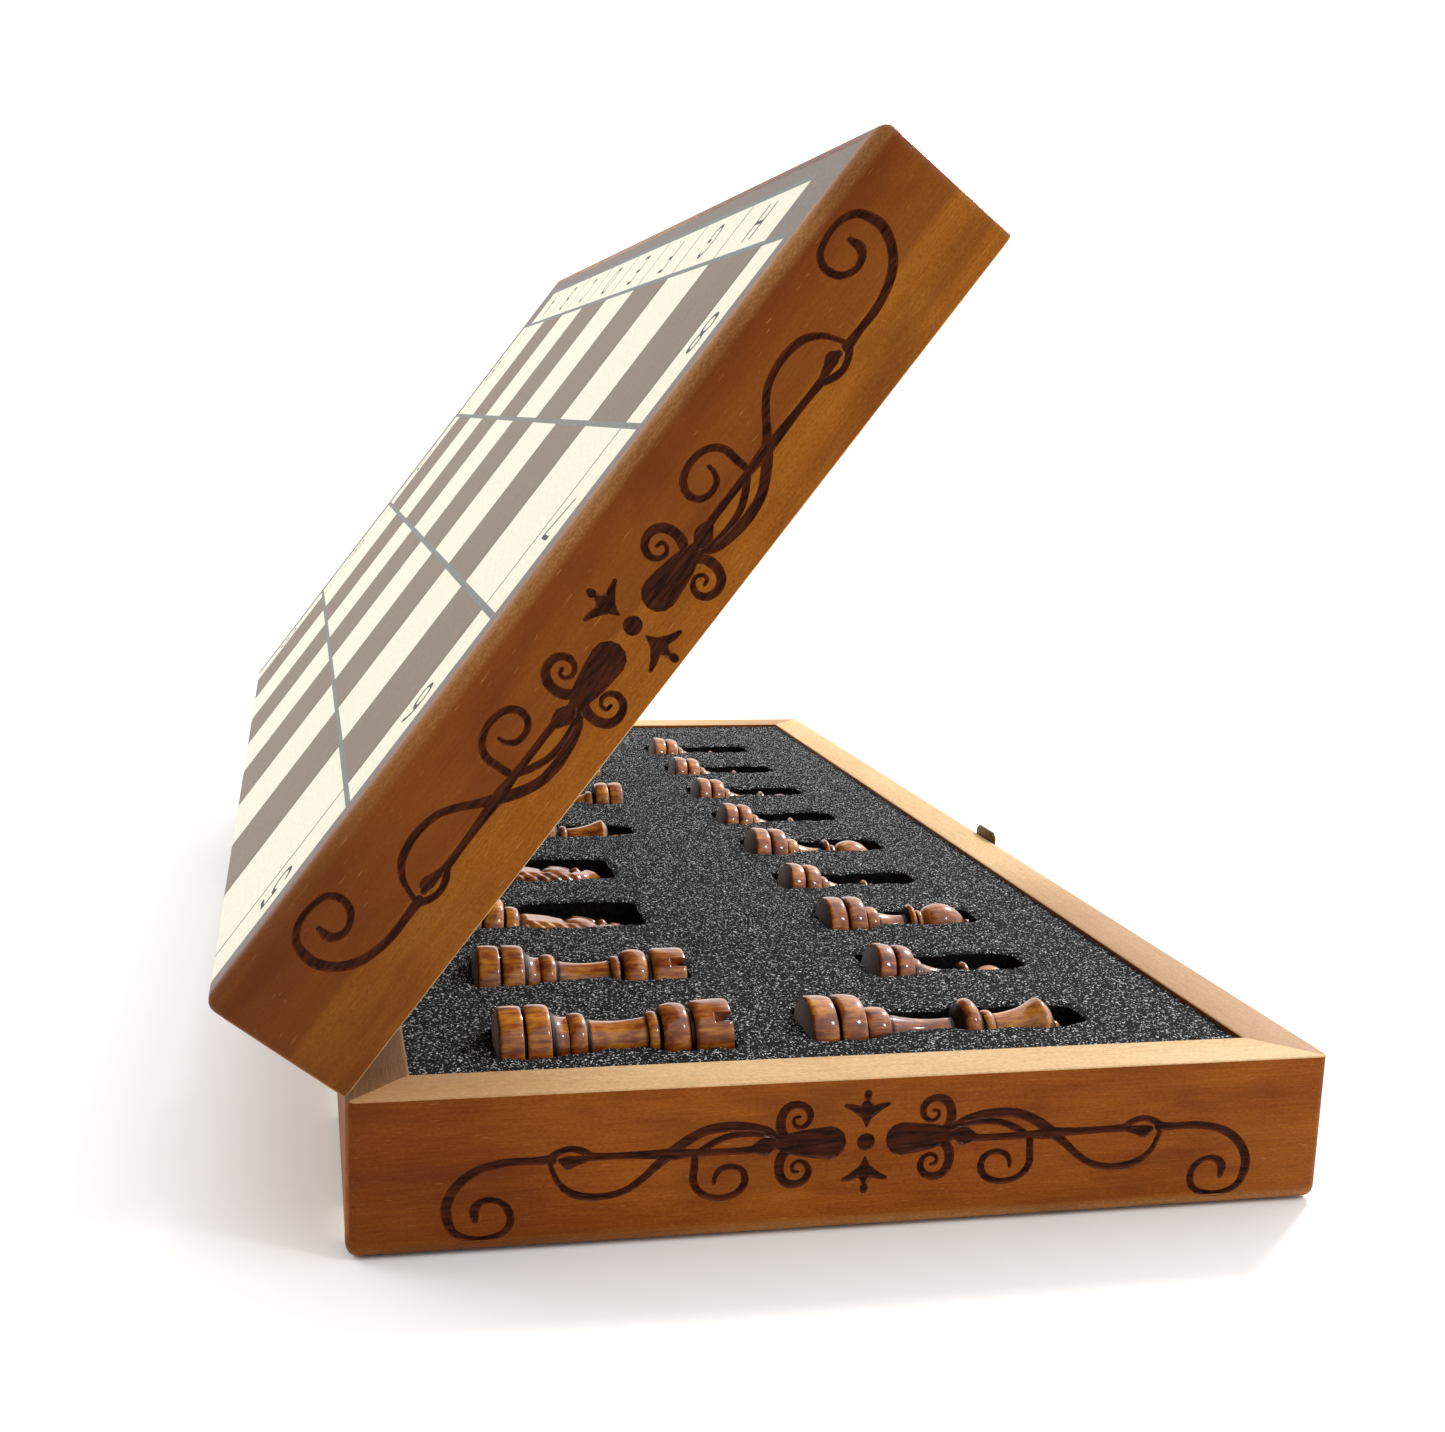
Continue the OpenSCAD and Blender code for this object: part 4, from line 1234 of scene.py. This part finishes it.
def foot_frame(node, side_name):
    """Where a piece's sole is and which way it stands, in its tray's frame."""
    points, triangles = tray_points(node, side_name)
    corners = points[triangles]
    cross = np.cross(corners[:, 1] - corners[:, 0], corners[:, 2] - corners[:, 0])
    area = np.linalg.norm(cross, axis=1) / 2
    normal = cross / (2 * area[:, None] + 1e-12)
    groups = {}
    for k in np.where(np.abs(normal[:, 0]) > math.cos(math.radians(10)))[0]:
        key = (*normal[k].round(2), round(float(normal[k] @ corners[k, 0]), 1))
        groups.setdefault(key, []).append(k)
    sole = max(groups.values(), key=lambda g: area[g].sum())
    weight = area[sole][:, None]
    centre = (corners[sole].mean(1) * weight).sum(0) / weight.sum()
    up = -Vector((normal[sole] * weight).sum(0)).normalized()
    y_axis = Vector((0, 1, 0))
    x_axis = y_axis.cross(up).normalized()
    y_axis = up.cross(x_axis)
    turn = Matrix((x_axis, y_axis, up)).transposed().to_4x4()
    return TRAY[side_name] @ Matrix.Translation(Vector(centre) * MM) @ turn


def felt_disc(bm, radius):
    """Thin felt pad glued under the foot."""
    rows = [circle(bm, r, z) for r, z in ((radius - 0.2, -0.3), (radius, -0.2), (radius, 0))]
    for cap in (rows[0], rows[-1]):
        bm.faces.new(cap).material_index = 1
    bridge(bm, rows, 1)


def rook_slots(matrix):
    """Two crossing cutters that open the rook's battlements."""
    cutters = []
    for half_x, half_y in ((1.1, 9), (9, 1.1)):
        bm = box_bmesh((-half_x, -half_y, 42.4), (half_x, half_y, 48))
        cutters.append(from_bmesh("slot", bm, [], matrix))
    return cutters


# Turn of the rooks' battlements about their own axes, in degrees.
SPIN = {"dark_rook_1": 40, "dark_rook_2": 38, "light_rook_1": 20, "light_rook_2": 60}


def build_piece(node, tone, side_name, seed):
    kind = node.split("_")[1]
    bm = lathe(PROFILES[kind])
    if kind == "knight":
        horse_head(bm)
    if kind == "king":
        king_cross(bm)
    felt_disc(bm, max(r for r, z in PROFILES[kind] if z < 1) - 0.9)
    matrix = foot_frame(node, side_name) @ Matrix.Rotation(math.radians(SPIN.get(node, 0)), 4, "Z")
    piece = from_bmesh(node + "_turned", bm, [LACQUER[tone], FELT[tone]], matrix)
    if kind == "rook":
        for cutter in rook_slots(matrix):
            cut(piece, cutter)
    mark = piece.data.attributes.new("seed", "FLOAT", "POINT")
    mark.data.foreach_set("value", [seed * 0.037] * len(piece.data.vertices))
    return place(piece, node, [node], f"{tone}_lacquer")


# ---------- hardware ----------

SCREW_APART = 4
THREADS = 8


def bevelled(node, body, material, slot, width=0.15):
    """Metal part with its CAD shape, cleaned of triangles and with softened edges."""
    bm = bmesh.new()
    bm.from_mesh(frame["nodes"][node].data)
    bm.transform(frame["nodes"][node].matrix_world)
    bmesh.ops.remove_doubles(bm, verts=bm.verts, dist=TINY)
    bmesh.ops.dissolve_limit(bm, angle_limit=math.radians(1), verts=bm.verts, edges=bm.edges)
    edges = [e for e in bm.edges if len(e.link_faces) == 2 and e.calc_face_angle() > math.radians(40)]
    shape = {"segments": 2, "profile": 0.5, "affect": "EDGES", "clamp_overlap": True}
    bmesh.ops.bevel(bm, geom=edges, offset=width * MM, **shape)
    middle = sum((v.co for v in bm.verts), Vector()) / len(bm.verts)
    bmesh.ops.translate(bm, verts=bm.verts, vec=-middle)
    for face in bm.faces:
        face.material_index = 0
    piece = from_bmesh(node + "_metal", bm, [material], Matrix.Translation(middle))
    return place(piece, body, [node], slot)


def screw_spots(points):
    """Middle of every screw head, and the heads' radius, from the CAD screws' points."""
    head_z = points[np.argmin(np.abs(points[:, 2]))][2]
    heads = points[np.abs(points[:, 2] - head_z) < 0.02]
    spots = []
    for p in heads[heads[:, 1].argsort()]:
        if not spots or p[1] - spots[-1][0][1] > SCREW_APART:
            spots.append([p])
        else:
            spots[-1].append(p)
    return [(np.min(s, 0) + np.max(s, 0)) / 2 for s in spots], np.ptp(spots[0], axis=0)[0] / 2


def screw_profile(radius, tip):
    """Domed head, then a threaded shank down to its tip."""
    profile = [(0, 0.05), (radius * 0.8, 0.03), (radius * 0.96, -0.08), (radius, -0.2)]
    profile.append((radius * 0.45, -1.2))
    pitch = (tip - 2.4) / THREADS
    for i in range(THREADS):
        z = -1.4 - pitch * i
        profile += [(radius * 0.42, z), (radius * 0.52, z - pitch / 2)]
    return profile + [(radius * 0.3, -tip + 0.8), (0, -tip)]


def build_screws(side_name):
    """Slotted countersunk screws of both hinges, in the same places as the CAD ones."""
    node = f"{side_name}_hinge_screws"
    side = SIDE[side_name]
    points, _ = tray_points(node, side_name)
    centres, radius = screw_spots(points)
    head_z = centres[0][2]
    profile = screw_profile(radius, np.abs(points[:, 2]).max() - abs(head_z))
    bm = bmesh.new()
    for centre in centres:
        one = lathe(profile)
        if side > 0:
            bmesh.ops.transform(one, matrix=Matrix.Rotation(math.pi, 4, "X"), verts=one.verts)
        bmesh.ops.translate(one, verts=one.verts, vec=Vector(centre) * MM)
        join(bm, one)
    piece = from_bmesh(node + "_metal", bm, [STEEL], TRAY[side_name])
    low, high = sorted((head_z - side, head_z + side * 0.45))
    for k, centre in enumerate(centres):
        slot = box_bmesh((-0.22, -radius * 1.1, low), (0.22, radius * 1.1, high))
        turn = Matrix.Rotation(0.7 + 1.3 * k, 4, "Z")
        spot = Matrix.Translation((centre[0] * MM, centre[1] * MM, 0))
        cut(piece, from_bmesh("slot", slot, [], TRAY[side_name] @ spot @ turn))
    return place(piece, side_name, [node], "hinge_steel")


# ---------- assembly ----------

for side_name in TRAY:
    for where in RAILS:
        build_rail(side_name, where)
    build_panel(side_name)
    build_screws(side_name)
Foam("base", 11).build()
Foam("lid", 12).build()

PIECE_NODES = [n for n in frame["nodes"] if n.split("_")[0] in ("dark", "light")]
for seed, node in enumerate(sorted(PIECE_NODES)):
    tone = node.split("_")[0]
    build_piece(node, tone, "base" if tone == "dark" else "lid", seed)

for end in ("near", "far"):
    for part, body in (("base_leaf", "base"), ("lid_leaf", "lid"), ("pin", "base")):
        bevelled(f"{end}_hinge_{part}", body, STEEL, "hinge_steel")
for part, body in (("catch", "base"), ("plate", "lid"), ("rivet", "lid"), ("hook", "hook")):
    bevelled(f"clasp_{part}", body, BRONZE, "clasp_bronze")
for side_name in TRAY:
    bevelled(f"{side_name}_clasp_nails", side_name, BRONZE, "clasp_bronze", 0.08)

# ---------- stage, light and camera ----------


def build_floor():
    bm = bmesh.new()
    bmesh.ops.create_grid(bm, x_segments=1, y_segments=1, size=40)
    floor = from_bmesh("floor", bm, [floor_paint()], Matrix.Translation((0, 0, -0.0003)))


def area_light(name, where, target, size, power, colour=(1, 1, 1)):
    data = bpy.data.lights.new(name, "AREA")
    data.shape = "RECTANGLE"
    data.size, data.size_y = size
    data.energy = power
    data.color = colour
    turn = (Vector(target) - Vector(where)).to_track_quat("-Z", "Y").to_matrix().to_4x4()
    add_object(name, data, Matrix.Translation(where) @ turn)


# Direction of the studio's brightest side, and how its facing maps to the surround's strength.
SKY_BRIGHT = Vector((0.45, 0.72, 0.5)).normalized()
SKY_SPAN = (-0.85, 0.5, 0.16, 1.4)


def build_world():
    """Studio surround that is white behind the object and dimmer on the camera's side."""
    world = bpy.data.worlds.new("studio")
    world.use_nodes = True
    tree = world.node_tree
    where = add_node(tree, "ShaderNodeTexCoord").outputs["Generated"]
    facing = add_node(tree, "ShaderNodeVectorMath", {0: where, 1: SKY_BRIGHT}, operation="DOT_PRODUCT")
    inputs = dict(enumerate((facing.outputs["Value"], *SKY_SPAN)))
    span = add_node(tree, "ShaderNodeMapRange", inputs)
    tree.links.new(span.outputs[0], tree.nodes["Background"].inputs["Strength"])
    tree.nodes["Background"].inputs["Color"].default_value = (1, 1, 1, 1)
    bpy.context.scene.world = world


# Turn of the camera in degrees (azimuth, elevation, roll), and its place in metres.
CAMERA_TURN = (11.055, 10.154, 1.523)
CAMERA_PLACE = (-0.10165, -0.48243, 0.14957)


def build_camera():
    azimuth, elevation, roll = (math.radians(a) for a in CAMERA_TURN)
    level = math.cos(elevation)
    forward = Vector((math.sin(azimuth) * level, math.cos(azimuth) * level, -math.sin(elevation)))
    right = Vector((math.cos(azimuth), -math.sin(azimuth), 0))
    up = right.cross(forward)
    cos, sin = math.cos(roll), math.sin(roll)
    right, up = right * cos + up * sin, up * cos - right * sin
    data = bpy.data.cameras.new("camera")
    data.sensor_width = 36
    data.lens = 43.45
    data.shift_x = 0.0583
    data.shift_y = 0.0078
    data.clip_start = 0.01
    turn = Matrix((right, up, -forward)).transposed().to_4x4()
    bpy.context.scene.camera = add_object("camera", data, Matrix.Translation(CAMERA_PLACE) @ turn)


build_floor()
build_world()
build_camera()
area_light("key", (0.8, 0.55, 0.8), (0, 0, 0.03), (0.16, 0.16), 10)
area_light("board_side", (-0.9, 0.35, 0.75), (0, 0, 0.1), (0.6, 0.6), 3.8)
area_light("glint", (0.5, -0.55, 0.7), (0, 0, 0.03), (0.09, 0.09), 1.3)
bpy.context.scene.view_settings.view_transform = "Standard"
